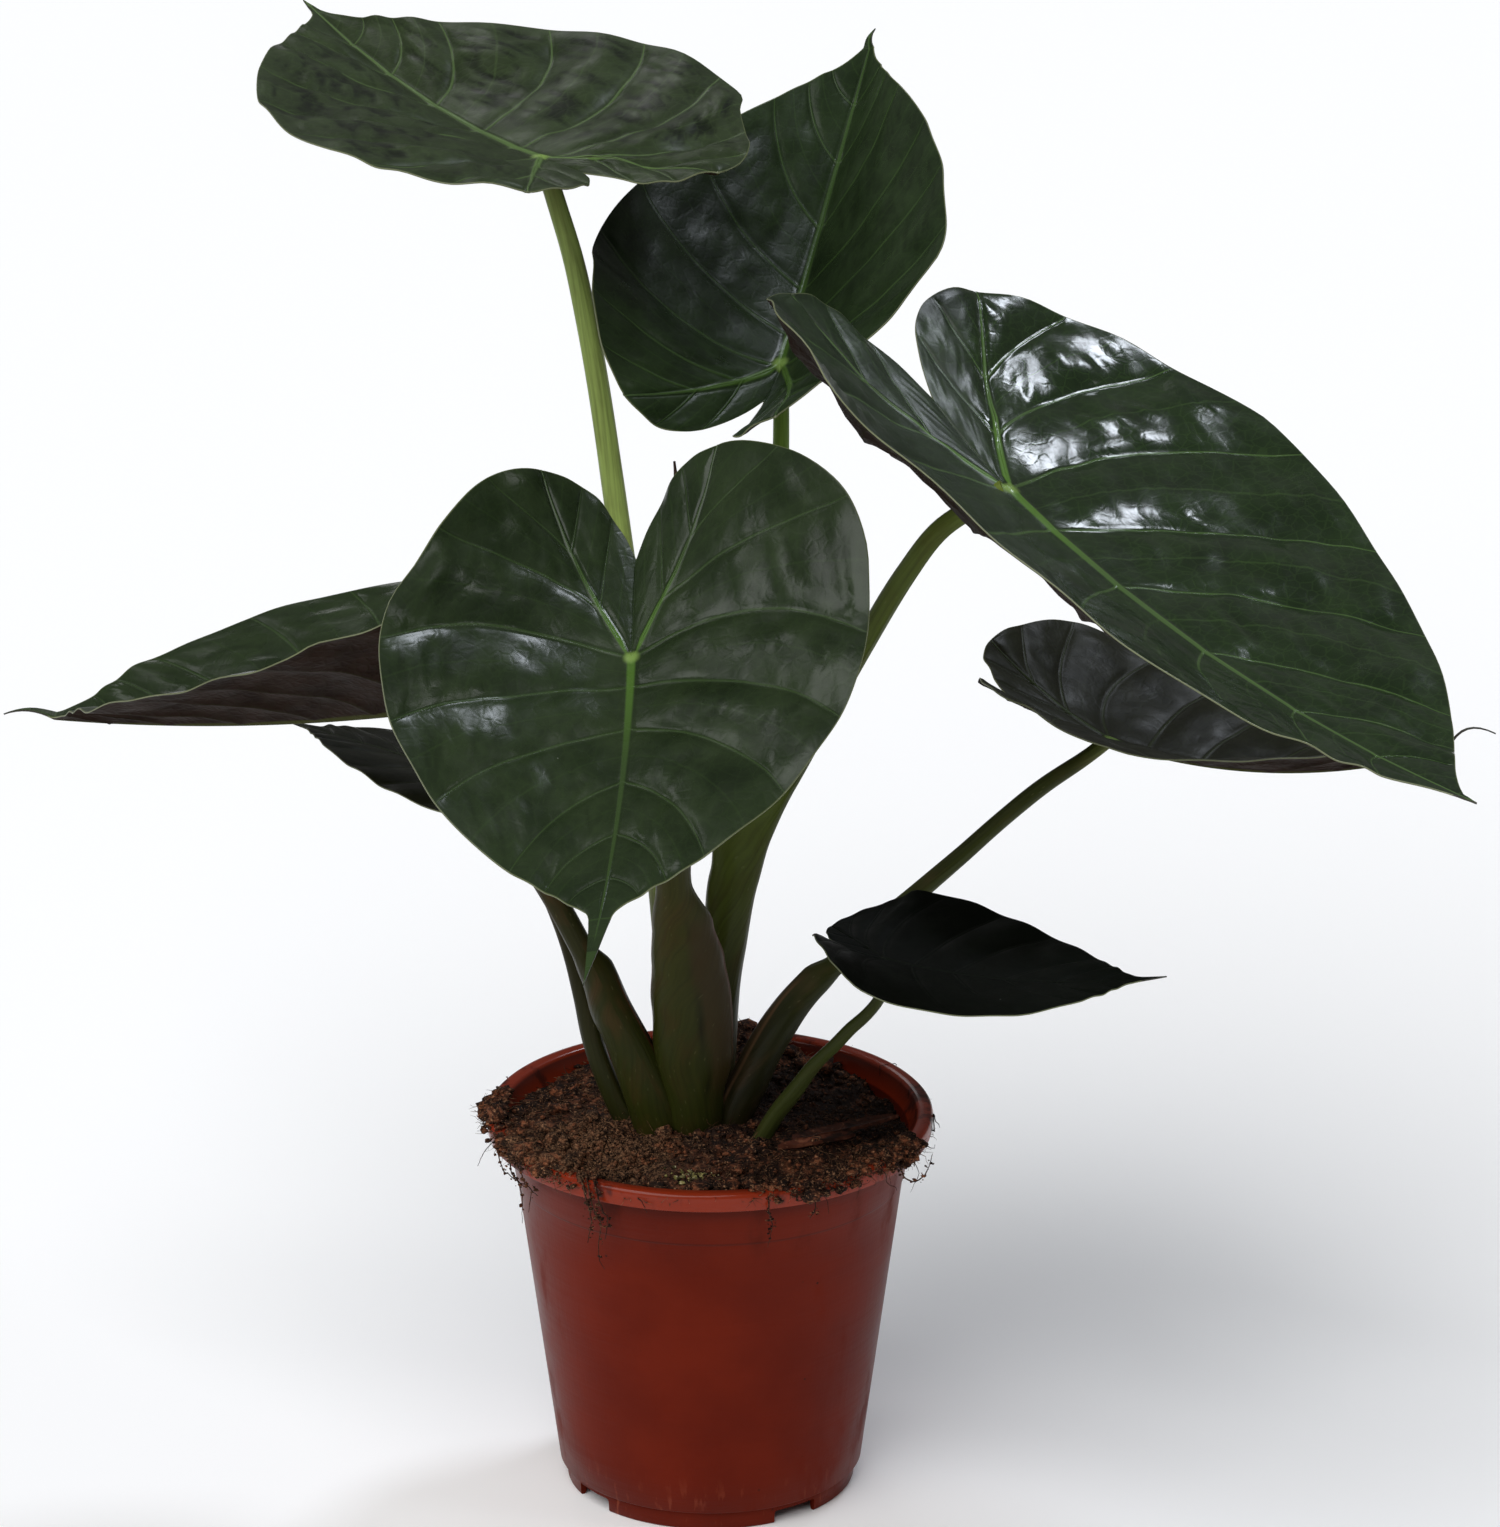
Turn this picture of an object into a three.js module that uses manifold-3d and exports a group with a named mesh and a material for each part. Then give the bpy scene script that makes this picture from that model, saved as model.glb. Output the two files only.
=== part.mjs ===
import * as THREE from "three";
import { mergeVertices } from "three/addons/utils/BufferGeometryUtils.js";
import Module from "manifold-3d";

const wasm = await Module();
wasm.setup();

// Pot: a thin moulded nursery pot with a flanged rim and a notched foot ring, in millimetres
const POT_HEIGHT = 168;
const POT_SEGMENTS = 60;
const RIM_RADIUS = 95;
const RIM_INNER_RADIUS = 88;
const RIM_HEIGHT = 8.5;
const WALL_TOP_RADIUS = 85;
const WALL_BOTTOM_RADIUS = 65;
const WALL = 1.5;
const STEP_BELOW_RIM = 20;
const STEP_DEPTH = 0.6;
const FOOT_HEIGHT = 9;
const FOOT_RADIUS = 62;
const FOOT_WALL = 3;
const FLOOR = 2;
const NOTCH_ANGLES = [-54, 36, 126, 216];
const NOTCH_WIDTH = 21;
const NOTCH_HEIGHT = 6;
const DRAIN_RADIUS = 5;
const DRAIN_CIRCLE_RADIUS = 47;

// Soil: the root ball fills the pot and heaps up round the stems
const SOIL_EDGE_HEIGHT = 164;
const SOIL_HEAP_HEIGHT = 9;
const SOIL_LUMP = 1.8;
const SOIL_SEGMENTS = 44;
const SOIL_RINGS = [0.14, 0.28, 0.42, 0.56, 0.7, 0.83, 0.93, 1];

// Clearance between neighbouring pieces
const GAP = 0.3;

// Blades
const BLADE_THICKNESS = 0.9;
const MIDRIB_HEIGHT = 2.6;
const SIDE_RIB_HEIGHT = 1.4;
const RIB_SHARE = 0.055;
const ACROSS = [0, RIB_SHARE, 0.3, 0.55, 0.8, 1];
const ACROSS_SMALL = [0, RIB_SHARE, 0.38, 0.72, 1];

// Half outline of a blade, as shares of its length or lobe and of its half width
const TIP_SIDE = [
  [0.955, 0.085],
  [0.9, 0.185],
  [0.82, 0.33],
  [0.7, 0.52],
  [0.55, 0.7],
  [0.38, 0.85],
  [0.2, 0.955],
  [0, 1],
];
const LOBE_SIDE = [
  [-0.25, 0.985],
  [-0.5, 0.925],
  [-0.72, 0.8],
  [-0.9, 0.61],
  [-0.99, 0.42],
  [-0.985, 0.26],
  [-0.9, 0.15],
];
const LAST_KNOT = 19;

// Lines that run from the midrib, or from the rib of a back lobe, to the margin:
// knot of the outline, start along the midrib, start along the lobe's rib, and swell between two veins
const RUNS = [
  { knot: 0, start: 2, rib: 0, swell: 0 },
  { knot: 1, start: 1.5, rib: 0, swell: 0 },
  { knot: 2, start: 1, rib: 0, swell: 0 },
  { knot: 3, start: 0.93, rib: 0, swell: 0.3 },
  { knot: 4.2, start: 0.83, rib: 0, swell: 0 },
  { knot: 4.9, start: 0.73, rib: 0, swell: 1 },
  { knot: 5.6, start: 0.63, rib: 0, swell: 0 },
  { knot: 6.3, start: 0.53, rib: 0, swell: 1 },
  { knot: 7, start: 0.43, rib: 0, swell: 0 },
  { knot: 7.7, start: 0.33, rib: 0, swell: 1 },
  { knot: 8.4, start: 0.22, rib: 0, swell: 0 },
  { knot: 9, start: 0.11, rib: 0, swell: 1 },
  { knot: 9.6, start: 0, rib: 0, swell: 0 },
  { knot: 10.4, start: 0, rib: 0.12, swell: 1 },
  { knot: 11.2, start: 0, rib: 0.24, swell: 0 },
  { knot: 12.1, start: 0, rib: 0.4, swell: 1 },
  { knot: 13.1, start: 0, rib: 0.58, swell: 0 },
  { knot: 14.6, start: 0, rib: 0.9, swell: 0.4 },
  { knot: 15.9, start: 0, rib: 0.58, swell: 0 },
  { knot: 16.7, start: 0, rib: 0.4, swell: 1 },
  { knot: 17.4, start: 0, rib: 0.24, swell: 0 },
  { knot: 18, start: 0, rib: 0.12, swell: 0.4 },
  { knot: 19, start: 0, rib: 0, swell: 0 },
];
const RIB_KNOT = 14.6;

// The eight leaves. attach is where the stalk meets the blade, measured from the pot's axis at the
// floor. heading, pitch and roll turn the blade. arch and sway bend the midrib down and sideways,
// fold and curl raise and bow each half, and notch is the gap from the stalk to the cleft.
const LEAVES = {
  top_left: {
    attach: [-69, 42, 572],
    heading: 117,
    pitch: -4,
    roll: 2,
    length: 220,
    drip: 15,
    neck: 2.9,
    notch: 40,
    arch: -17,
    archBack: 0,
    sway: 3,
    swayBack: 1,
    twist: -2,
    foldTip: 10,
    foldBack: -5,
    swell: 2.4,
    wave: 2.2,
    leftHalf: { width: 103, lobe: 83, full: 0.05, lobeFull: -0.03, fold: 8, curl: 0 },
    rightHalf: { width: 94, lobe: 81, full: 0.14, lobeFull: -0.14, fold: 9, curl: -9 },
    stalk: {
      path: [
        [-11, -2, 150],
        [-11, -2, 177],
        [-13, -1, 218],
        [-18, 2, 266],
        [-24, 7, 322],
        [-32, 15, 381],
        [-39, 26, 430],
        [-45, 36, 470],
        [-50, 41, 499],
        [-56, 42, 529],
        [-63, 42, 554],
        [-69, 42, 574],
      ],
      inner: 20,
      sections: [
        { at: 0, left: 12, right: 12, back: 11, front: 2 },
        { at: 0.12, left: 11, right: 11, back: 9, front: -2 },
        { at: 0.3, left: 8.5, right: 8.5, back: 7.5, front: 1 },
        { at: 0.42, left: 5.6, right: 5.6, back: 5.6, front: 5 },
        { at: 0.8, left: 4.6, right: 4.6, back: 4.6, front: 4.6 },
        { at: 1, left: 3.9, right: 3.9, back: 3.9, front: 3.9 },
      ],
    },
  },
  top_middle: {
    attach: [30, 54, 480],
    heading: 79,
    pitch: 21,
    roll: -4,
    length: 188,
    drip: 11,
    neck: 2.8,
    notch: 25,
    arch: -22,
    archBack: 6,
    sway: -7,
    swayBack: -36,
    twist: -9,
    foldTip: -1,
    foldBack: 4,
    swell: 2.2,
    wave: 1.8,
    leftHalf: { width: 94, lobe: 71, full: 0.01, lobeFull: -0.02, fold: 34, curl: -12 },
    rightHalf: { width: 94, lobe: 71, full: 0.05, lobeFull: -0.23, fold: 38, curl: 0 },
    stalk: {
      path: [
        [3, 19, 150],
        [4, 19, 178],
        [8, 19, 223],
        [14, 20, 267],
        [20, 23, 309],
        [26, 30, 359],
        [29, 40, 408],
        [30, 49, 449],
        [30, 54, 482],
      ],
      inner: 250,
      sections: [
        { at: 0, left: 7, right: 7, back: 6, front: 3 },
        { at: 0.35, left: 4.6, right: 4.6, back: 4.6, front: 4 },
        { at: 0.8, left: 3.6, right: 3.6, back: 3.6, front: 3.6 },
        { at: 1, left: 3.3, right: 3.3, back: 3.3, front: 3.3 },
      ],
    },
  },
  front: {
    attach: [-30, -114, 407],
    heading: -91,
    pitch: -30,
    roll: 14,
    length: 141,
    drip: 38,
    neck: 4.5,
    notch: 52,
    arch: -8,
    archBack: 5,
    sway: -5,
    swayBack: -3,
    twist: 0,
    foldTip: -14,
    foldBack: 23,
    swell: 2.2,
    wave: 1.6,
    leftHalf: { width: 101, lobe: 87, full: 0.01, lobeFull: 0.06, fold: 8, curl: 2 },
    rightHalf: { width: 102, lobe: 83, full: 0.09, lobeFull: -0.1, fold: 12, curl: -39 },
    stalk: {
      path: [
        [-7, -21, 150],
        [-8, -23, 180],
        [-10, -26, 210],
        [-14, -33, 250],
        [-15, -46, 285],
        [-18, -66, 332],
        [-24, -90, 376],
        [-29, -109, 402],
        [-30, -115, 409],
      ],
      inner: 90,
      sections: [
        { at: 0, left: 12, right: 12, back: 12, front: -1 },
        { at: 0.11, left: 13, right: 14, back: 13, front: -5 },
        { at: 0.19, left: 14.5, right: 19.5, back: 13, front: -6 },
        { at: 0.28, left: 12.5, right: 21, back: 12, front: -6 },
        { at: 0.35, left: 10, right: 20, back: 10, front: -4 },
        { at: 0.42, left: 9, right: 16, back: 8, front: -1 },
        { at: 0.5, left: 6.8, right: 8, back: 6.3, front: 5 },
        { at: 0.8, left: 5, right: 5, back: 5, front: 5 },
        { at: 1, left: 4.2, right: 4.2, back: 4.2, front: 4.2 },
      ],
    },
  },
  right: {
    attach: [121, -68, 463],
    heading: -56,
    pitch: -19,
    roll: -3,
    length: 279,
    drip: 11,
    neck: 2.8,
    notch: 59,
    arch: -17,
    archBack: 24,
    sway: 2,
    swayBack: 1,
    twist: 4,
    foldTip: 4,
    foldBack: -3,
    swell: 3.4,
    wave: 2.4,
    leftHalf: { width: 130, lobe: 115, full: -0.04, lobeFull: -0.03, fold: -2, curl: -19 },
    rightHalf: { width: 128, lobe: 110, full: -0.01, lobeFull: 0.11, fold: 9, curl: -45 },
    stalk: {
      path: [
        [-2, 4, 150],
        [-2, 4, 175],
        [1, 3, 215],
        [5, 1, 242],
        [12, -4, 271],
        [20, -12, 298],
        [34, -22, 328],
        [48, -32, 358],
        [62, -42, 387],
        [80, -54, 423],
        [94, -63, 445],
        [111, -67, 458],
        [122, -68, 465],
      ],
      inner: 180,
      sections: [
        { at: 0, left: 10, right: 10, back: 11, front: 6 },
        { at: 0.12, left: 11, right: 11, back: 12, front: 8 },
        { at: 0.25, left: 10, right: 10, back: 10.5, front: 8 },
        { at: 0.36, left: 7, right: 7, back: 8, front: 8 },
        { at: 0.48, left: 5.4, right: 5.4, back: 5.6, front: 5.4 },
        { at: 0.75, left: 4.6, right: 4.6, back: 4.6, front: 4.6 },
        { at: 1, left: 4, right: 4, back: 4, front: 4 },
      ],
    },
  },
  left: {
    attach: [-120, -11, 351],
    heading: 153,
    pitch: -15,
    roll: 4,
    length: 183,
    drip: 26,
    neck: 3.1,
    notch: 42,
    arch: -10,
    archBack: 10,
    sway: 1,
    swayBack: 1,
    twist: -12,
    foldTip: 3,
    foldBack: 1,
    swell: 2.6,
    wave: 2.2,
    leftHalf: { width: 93, lobe: 85, full: -0.1, lobeFull: 0.01, fold: 32, curl: 13 },
    rightHalf: { width: 93, lobe: 85, full: -0.02, lobeFull: 0, fold: 31, curl: 10 },
    stalk: {
      path: [
        [-18, -23, 150],
        [-22, -24, 177],
        [-31, -25, 202],
        [-42, -25, 225],
        [-53, -24, 249],
        [-66, -23, 274],
        [-87, -20, 307],
        [-107, -15, 337],
        [-117, -11, 349],
        [-121, -10, 354],
      ],
      inner: 15,
      sections: [
        { at: 0, left: 9, right: 10, back: 12, front: 9 },
        { at: 0.13, left: 10, right: 11, back: 12, front: 10 },
        { at: 0.32, left: 9, right: 10, back: 9, front: 8.5 },
        { at: 0.41, left: 7, right: 8, back: 6, front: 9 },
        { at: 0.46, left: 5, right: 5, back: 5, front: 5 },
        { at: 1, left: 3.8, right: 3.8, back: 3.8, front: 3.8 },
      ],
    },
  },
  left_lower: {
    attach: [-95, 46, 299],
    heading: 157,
    pitch: 10,
    roll: 5,
    length: 89,
    drip: 9,
    neck: 2.1,
    notch: 19,
    arch: 3,
    archBack: 10,
    sway: -3,
    swayBack: -1,
    twist: 1,
    foldTip: -1,
    foldBack: 0,
    swell: 1.3,
    wave: 1.1,
    leftHalf: { width: 46, lobe: 34, full: 0, lobeFull: 0, fold: 5, curl: 16 },
    rightHalf: { width: 46, lobe: 34, full: 0, lobeFull: 0, fold: 6, curl: 13 },
    stalk: {
      path: [
        [-29, -15, 150],
        [-33, -15, 167],
        [-40, -14, 182],
        [-47, -12, 201],
        [-52, -9, 221],
        [-57, -5, 237],
        [-62, 0, 250],
        [-70, 10, 266],
        [-84, 28, 285],
        [-93, 42, 296],
        [-96, 47, 301],
      ],
      inner: 10,
      sections: [
        { at: 0, left: 6, right: 6, back: 7, front: 3 },
        { at: 0.3, left: 5, right: 5, back: 6, front: 3 },
        { at: 0.6, left: 3.4, right: 3.4, back: 3.4, front: 3.4 },
        { at: 1, left: 2.6, right: 2.6, back: 2.6, front: 2.6 },
      ],
    },
  },
  right_lower: {
    attach: [171, 59, 313],
    heading: -5,
    pitch: -18,
    roll: -6,
    length: 145,
    drip: 22,
    neck: 1.5,
    notch: 46,
    arch: -35,
    archBack: 12,
    sway: 1,
    swayBack: 0,
    twist: -2,
    foldTip: 12,
    foldBack: 1,
    swell: 1.8,
    wave: 1.4,
    leftHalf: { width: 76, lobe: 65, full: 0, lobeFull: 0.06, fold: 15, curl: -11 },
    rightHalf: { width: 75, lobe: 65, full: 0.02, lobeFull: -0.02, fold: 15, curl: 9 },
    stalk: {
      path: [
        [6, -17, 150],
        [9, -18, 172],
        [18, -14, 189],
        [28, -9, 205],
        [38, -3, 218],
        [51, 3, 230],
        [72, 14, 246],
        [89, 23, 258],
        [106, 32, 270],
        [126, 42, 285],
        [142, 49, 296],
        [161, 56, 307],
        [172, 59, 315],
      ],
      inner: 180,
      sections: [
        { at: 0, left: 10, right: 9, back: 10, front: 6 },
        { at: 0.12, left: 10, right: 9, back: 9, front: 8 },
        { at: 0.24, left: 8, right: 8, back: 6.5, front: 9 },
        { at: 0.35, left: 6, right: 6, back: 5.5, front: 8 },
        { at: 0.4, left: 4.4, right: 4.4, back: 4.4, front: 4.4 },
        { at: 0.8, left: 3.6, right: 3.6, back: 3.6, front: 3.6 },
        { at: 1, left: 3.1, right: 3.1, back: 3.1, front: 3.1 },
      ],
    },
  },
  right_small: {
    attach: [73, -56, 257],
    heading: -15,
    pitch: -9,
    roll: -10,
    length: 107,
    drip: 11,
    neck: 2,
    notch: 19,
    arch: -19,
    archBack: 7,
    sway: 1,
    swayBack: 0,
    twist: 13,
    foldTip: -8,
    foldBack: 2,
    swell: 1.4,
    wave: 1.2,
    leftHalf: { width: 56, lobe: 30, full: 0.03, lobeFull: -0.06, fold: 9, curl: -25 },
    rightHalf: { width: 55, lobe: 29, full: 0.02, lobeFull: -0.04, fold: 8, curl: 20 },
    stalk: {
      path: [
        [15, -32, 150],
        [21, -32, 167],
        [28, -33, 180],
        [35, -35, 190],
        [43, -38, 202],
        [52, -42, 213],
        [59, -45, 222],
        [66, -48, 230],
        [71, -52, 239],
        [73, -55, 250],
        [73, -56, 259],
      ],
      inner: 165,
      sections: [
        { at: 0, left: 5, right: 5, back: 5, front: 3 },
        { at: 0.3, left: 4.6, right: 4.6, back: 4.4, front: 3 },
        { at: 0.55, left: 2.8, right: 2.8, back: 2.8, front: 2.8 },
        { at: 1, left: 2.2, right: 2.2, back: 2.2, front: 2.2 },
      ],
    },
  },
};

// The rolled young leaf that stands between the stalks
const YOUNG_LEAF = {
  path: [
    [-8, -8, 150],
    [-10, -8, 179],
    [-11, -8, 207],
    [-12, -7, 256],
    [-11, -7, 309],
    [-10, -8, 371],
    [-11, -8, 423],
    [-14, -8, 457],
  ],
  inner: 90,
  sections: [
    { at: 0, left: 4.5, right: 4.5, back: 4.5, front: 4.5 },
    { at: 0.4, left: 4, right: 4, back: 4, front: 4 },
    { at: 0.86, left: 3, right: 3, back: 3, front: 3 },
    { at: 0.95, left: 1.6, right: 1.6, back: 1.6, front: 1.6 },
    { at: 1, left: 0.5, right: 0.5, back: 0.5, front: 0.5 },
  ],
};
const STALK_SIDES = 12;
const STALK_RINGS = 15;

// Where two stalks meet at the crown, the later one is hollowed to clasp the earlier one
const CROWN_ORDER = [
  "front",
  "left",
  "right_lower",
  "top_left",
  "right",
  "right_small",
  "left_lower",
  "top_middle",
];

// Surface colours
const FINISHES = {
  pot: { color: 0x8c3f2b, roughness: 0.45 },
  soil: { color: 0x3d2a1f, roughness: 0.95 },
  blade: { color: 0x2e4429, roughness: 0.35 },
  darkBlade: { color: 0x232d20, roughness: 0.4 },
  stalk: { color: 0x66733a, roughness: 0.45 },
  youngLeaf: { color: 0x7a5334, roughness: 0.6 },
};

const rad = THREE.MathUtils.degToRad;
const clamp01 = (value) => THREE.MathUtils.clamp(value, 0, 1);

// A repeatable number from 0 to 1 for a whole-number seed
function chance(seed) {
  const s = Math.sin(seed * 127.1 + 311.7) * 43758.5453;
  return s - Math.floor(s);
}

// Builds a closed geometry from points and triangles, with shared corners joined
function closedGeometry(points, triangles) {
  const raw = new THREE.BufferGeometry();
  raw.setAttribute("position", new THREE.Float32BufferAttribute(points.flatMap((p) => [p.x, p.y, p.z]), 3));
  raw.setIndex(triangles.flat());
  return joined(raw);
}

// Joins equal corners and drops the triangles that this leaves without area
function joined(geometry) {
  const bare = new THREE.BufferGeometry();
  bare.setAttribute("position", geometry.getAttribute("position"));
  bare.setIndex(geometry.index);
  const merged = mergeVertices(bare, 1e-3);
  const kept = [];
  const index = merged.index.array;
  for (let i = 0; i < index.length; i += 3) {
    const [a, b, c] = [index[i], index[i + 1], index[i + 2]];
    if (a !== b && b !== c && c !== a) kept.push(a, b, c);
  }
  merged.setIndex(kept);
  return merged;
}

function toSolid(geometry) {
  const bare = joined(geometry);
  return new wasm.Manifold(
    new wasm.Mesh({
      numProp: 3,
      vertProperties: new Float32Array(bare.getAttribute("position").array),
      triVerts: new Uint32Array(bare.index.array),
    }),
  );
}

function toGeometry(solid) {
  const mesh = solid.getMesh();
  const geometry = new THREE.BufferGeometry();
  const positions = [];
  for (let i = 0; i < mesh.numVert; i += 1) {
    const at = i * mesh.numProp;
    positions.push(mesh.vertProperties[at], mesh.vertProperties[at + 1], mesh.vertProperties[at + 2]);
  }
  geometry.setAttribute("position", new THREE.Float32BufferAttribute(positions, 3));
  geometry.setIndex(Array.from(mesh.triVerts));
  return geometry;
}

// The largest of a solid's separate bodies
function largestBody(solid) {
  const bodies = solid.decompose();
  bodies.sort((a, b) => b.volume() - a.volume());
  return bodies[0];
}

// Pot wall radius on the outside at a height
function wallRadius(z) {
  const share = (z - FOOT_HEIGHT) / (POT_HEIGHT - RIM_HEIGHT - FOOT_HEIGHT);
  return THREE.MathUtils.lerp(WALL_BOTTOM_RADIUS, WALL_TOP_RADIUS, share);
}

function potGeometry() {
  const rimLow = POT_HEIGHT - RIM_HEIGHT;
  const step = rimLow - STEP_BELOW_RIM;
  const inner = wallRadius(rimLow) - WALL;
  const profile = [
    [0, FOOT_HEIGHT],
    [FOOT_RADIUS - FOOT_WALL, FOOT_HEIGHT],
    [FOOT_RADIUS - FOOT_WALL + 0.4, 0],
    [FOOT_RADIUS - 0.6, 0],
    [FOOT_RADIUS, 0.8],
    [FOOT_RADIUS + 0.6, FOOT_HEIGHT - 0.4],
    [wallRadius(FOOT_HEIGHT), FOOT_HEIGHT],
    [wallRadius(step), step],
    [wallRadius(step) + STEP_DEPTH, step + 1],
    [wallRadius(rimLow) + STEP_DEPTH, rimLow - 1.5],
    [RIM_RADIUS - 2.2, rimLow],
    [RIM_RADIUS - 0.6, rimLow + 1],
    [RIM_RADIUS, POT_HEIGHT - 1.6],
    [RIM_RADIUS - 1.4, POT_HEIGHT],
    [RIM_INNER_RADIUS + 1, POT_HEIGHT],
    [RIM_INNER_RADIUS, POT_HEIGHT - 1],
    [inner + 1, rimLow],
    [inner, rimLow - 4],
    [wallRadius(FOOT_HEIGHT + FLOOR) - WALL, FOOT_HEIGHT + FLOOR],
    [0, FOOT_HEIGHT + FLOOR],
  ];
  const turned = new THREE.LatheGeometry(profile.map(([r, z]) => new THREE.Vector2(r, z)), POT_SEGMENTS);
  turned.rotateX(Math.PI / 2);
  let solid = toSolid(turned);
  for (const angle of NOTCH_ANGLES) {
    const notch = new THREE.BoxGeometry(2 * FOOT_WALL + 8, NOTCH_WIDTH, 2 * NOTCH_HEIGHT);
    notch.translate(FOOT_RADIUS, 0, 0);
    notch.rotateZ(rad(angle - 90));
    solid = solid.subtract(toSolid(notch));
    const drain = new THREE.CylinderGeometry(DRAIN_RADIUS, DRAIN_RADIUS, 3 * FLOOR, 16);
    drain.rotateX(Math.PI / 2);
    drain.translate(DRAIN_CIRCLE_RADIUS, 0, FOOT_HEIGHT + FLOOR / 2);
    drain.rotateZ(rad(angle - 90));
    solid = solid.subtract(toSolid(drain));
  }
  return solid;
}

// Height of the soil's lumpy top at a place
function soilHeight(x, y) {
  const share = Math.hypot(x, y) / RIM_INNER_RADIUS;
  const heap = SOIL_HEAP_HEIGHT * (1 - share ** 2) ** 1.2;
  const lump =
    Math.sin(x * 0.11 + 1.3) * Math.sin(y * 0.13 + 0.4) +
    0.6 * Math.sin(x * 0.27 - y * 0.19) +
    0.5 * Math.sin(y * 0.31 + x * 0.17 + 2.1);
  return SOIL_EDGE_HEIGHT + (share < 1 ? heap : 0) + SOIL_LUMP * lump;
}

function soilGeometry() {
  const points = [];
  const triangles = [];
  const low = FOOT_HEIGHT + FLOOR + GAP;
  const bend = POT_HEIGHT - RIM_HEIGHT - 4;
  const edge = wallRadius(POT_HEIGHT - RIM_HEIGHT) - WALL - GAP;
  const ring = (radius, height) => {
    const first = points.length;
    for (let i = 0; i < SOIL_SEGMENTS; i += 1) {
      const angle = (i / SOIL_SEGMENTS) * 2 * Math.PI;
      const x = radius * Math.cos(angle);
      const y = radius * Math.sin(angle);
      points.push(new THREE.Vector3(x, y, height === null ? soilHeight(x, y) : height));
    }
    return first;
  };
  const centre = (z) => points.push(new THREE.Vector3(0, 0, z)) - 1;
  const flat = Math.cos(Math.PI / POT_SEGMENTS);
  const rings = [ring((wallRadius(low) - WALL - GAP) * flat, low), ring(edge * flat, bend)];
  rings.push(...SOIL_RINGS.toReversed().map((share) => ring(share * edge * flat, null)));
  const bottom = centre(low);
  const top = centre(soilHeight(0, 0));
  for (let i = 0; i < SOIL_SEGMENTS; i += 1) {
    const next = (i + 1) % SOIL_SEGMENTS;
    triangles.push([bottom, rings[0] + next, rings[0] + i]);
    triangles.push([top, rings.at(-1) + i, rings.at(-1) + next]);
    for (let k = 0; k + 1 < rings.length; k += 1) {
      const [a, b] = [rings[k], rings[k + 1]];
      triangles.push([a + i, a + next, b + next], [a + i, b + next, b + i]);
    }
  }
  return closedGeometry(points, triangles);
}

// Outline of one half of a blade, from the end of the drip tip to the cleft
function halfOutline(leaf, half) {
  const points = [
    [leaf.length + leaf.drip, 0],
    [leaf.length + 0.5 * leaf.drip, 0.45 * leaf.neck],
    [leaf.length, leaf.neck],
  ];
  for (const [x, y] of TIP_SIDE) {
    points.push([x * leaf.length, y * half.width * (1 + half.full * Math.sin(Math.PI * x))]);
  }
  for (const [x, y] of LOBE_SIDE) {
    points.push([x * half.lobe, y * half.width * (1 + half.lobeFull * Math.sin(-Math.PI * x))]);
  }
  points.push([-0.5 * (0.9 * half.lobe + leaf.notch), 0.055 * half.width], [-leaf.notch, 0]);
  return new THREE.SplineCurve(points.map(([x, y]) => new THREE.Vector2(x, y)));
}

// Bends a place on the flat blade into shape, round the point where the stalk meets it
function bent(leaf, half, side, x, y) {
  const back = 0.5 * (leaf.leftHalf.lobe + leaf.rightHalf.lobe);
  const share = x > 0 ? x / leaf.length : x / back;
  const tight = (value) => (Math.abs(value) < 1e-7 ? 1e-7 : value);
  const archRate = tight(x > 0 ? rad(leaf.arch) / leaf.length : -rad(leaf.archBack) / back);
  const turn = archRate * x;
  const along = Math.sin(turn) / archRate;
  const down = -(1 - Math.cos(turn)) / archRate;
  const swayRate = x > 0 ? rad(leaf.sway) / leaf.length : rad(leaf.swayBack) / back;
  const sideways = 0.5 * swayRate * x * Math.abs(x);
  const fold = rad(half.fold + leaf.foldTip * clamp01(share) + leaf.foldBack * clamp01(-share));
  const curlRate = tight(rad(half.curl) / half.width);
  const reach = Math.abs(y);
  const across = (side * (Math.sin(fold) - Math.sin(fold - curlRate * reach))) / curlRate;
  const raised = -(Math.cos(fold) - Math.cos(fold - curlRate * reach)) / curlRate;
  const twist = rad(leaf.twist) * share;
  const lateral = across * Math.cos(twist) - raised * Math.sin(twist);
  const height = across * Math.sin(twist) + raised * Math.cos(twist);
  return new THREE.Vector3(
    along + height * Math.sin(turn),
    sideways + lateral,
    down + height * Math.cos(turn),
  );
}

// Turns and moves a leaf's own frame into the plant's frame
function leafFrame(leaf) {
  const [h, p, r] = [rad(leaf.heading), rad(leaf.pitch), rad(leaf.roll)];
  const along = new THREE.Vector3(Math.cos(h) * Math.cos(p), Math.sin(h) * Math.cos(p), Math.sin(p));
  const level = new THREE.Vector3(-Math.sin(h), Math.cos(h), 0);
  const up = new THREE.Vector3().crossVectors(along, level);
  const left = level.clone().multiplyScalar(Math.cos(r)).addScaledVector(up, Math.sin(r));
  const normal = up.clone().multiplyScalar(Math.cos(r)).addScaledVector(level, -Math.sin(r));
  return new THREE.Matrix4().makeBasis(along, left, normal).setPosition(...leaf.attach);
}

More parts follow.
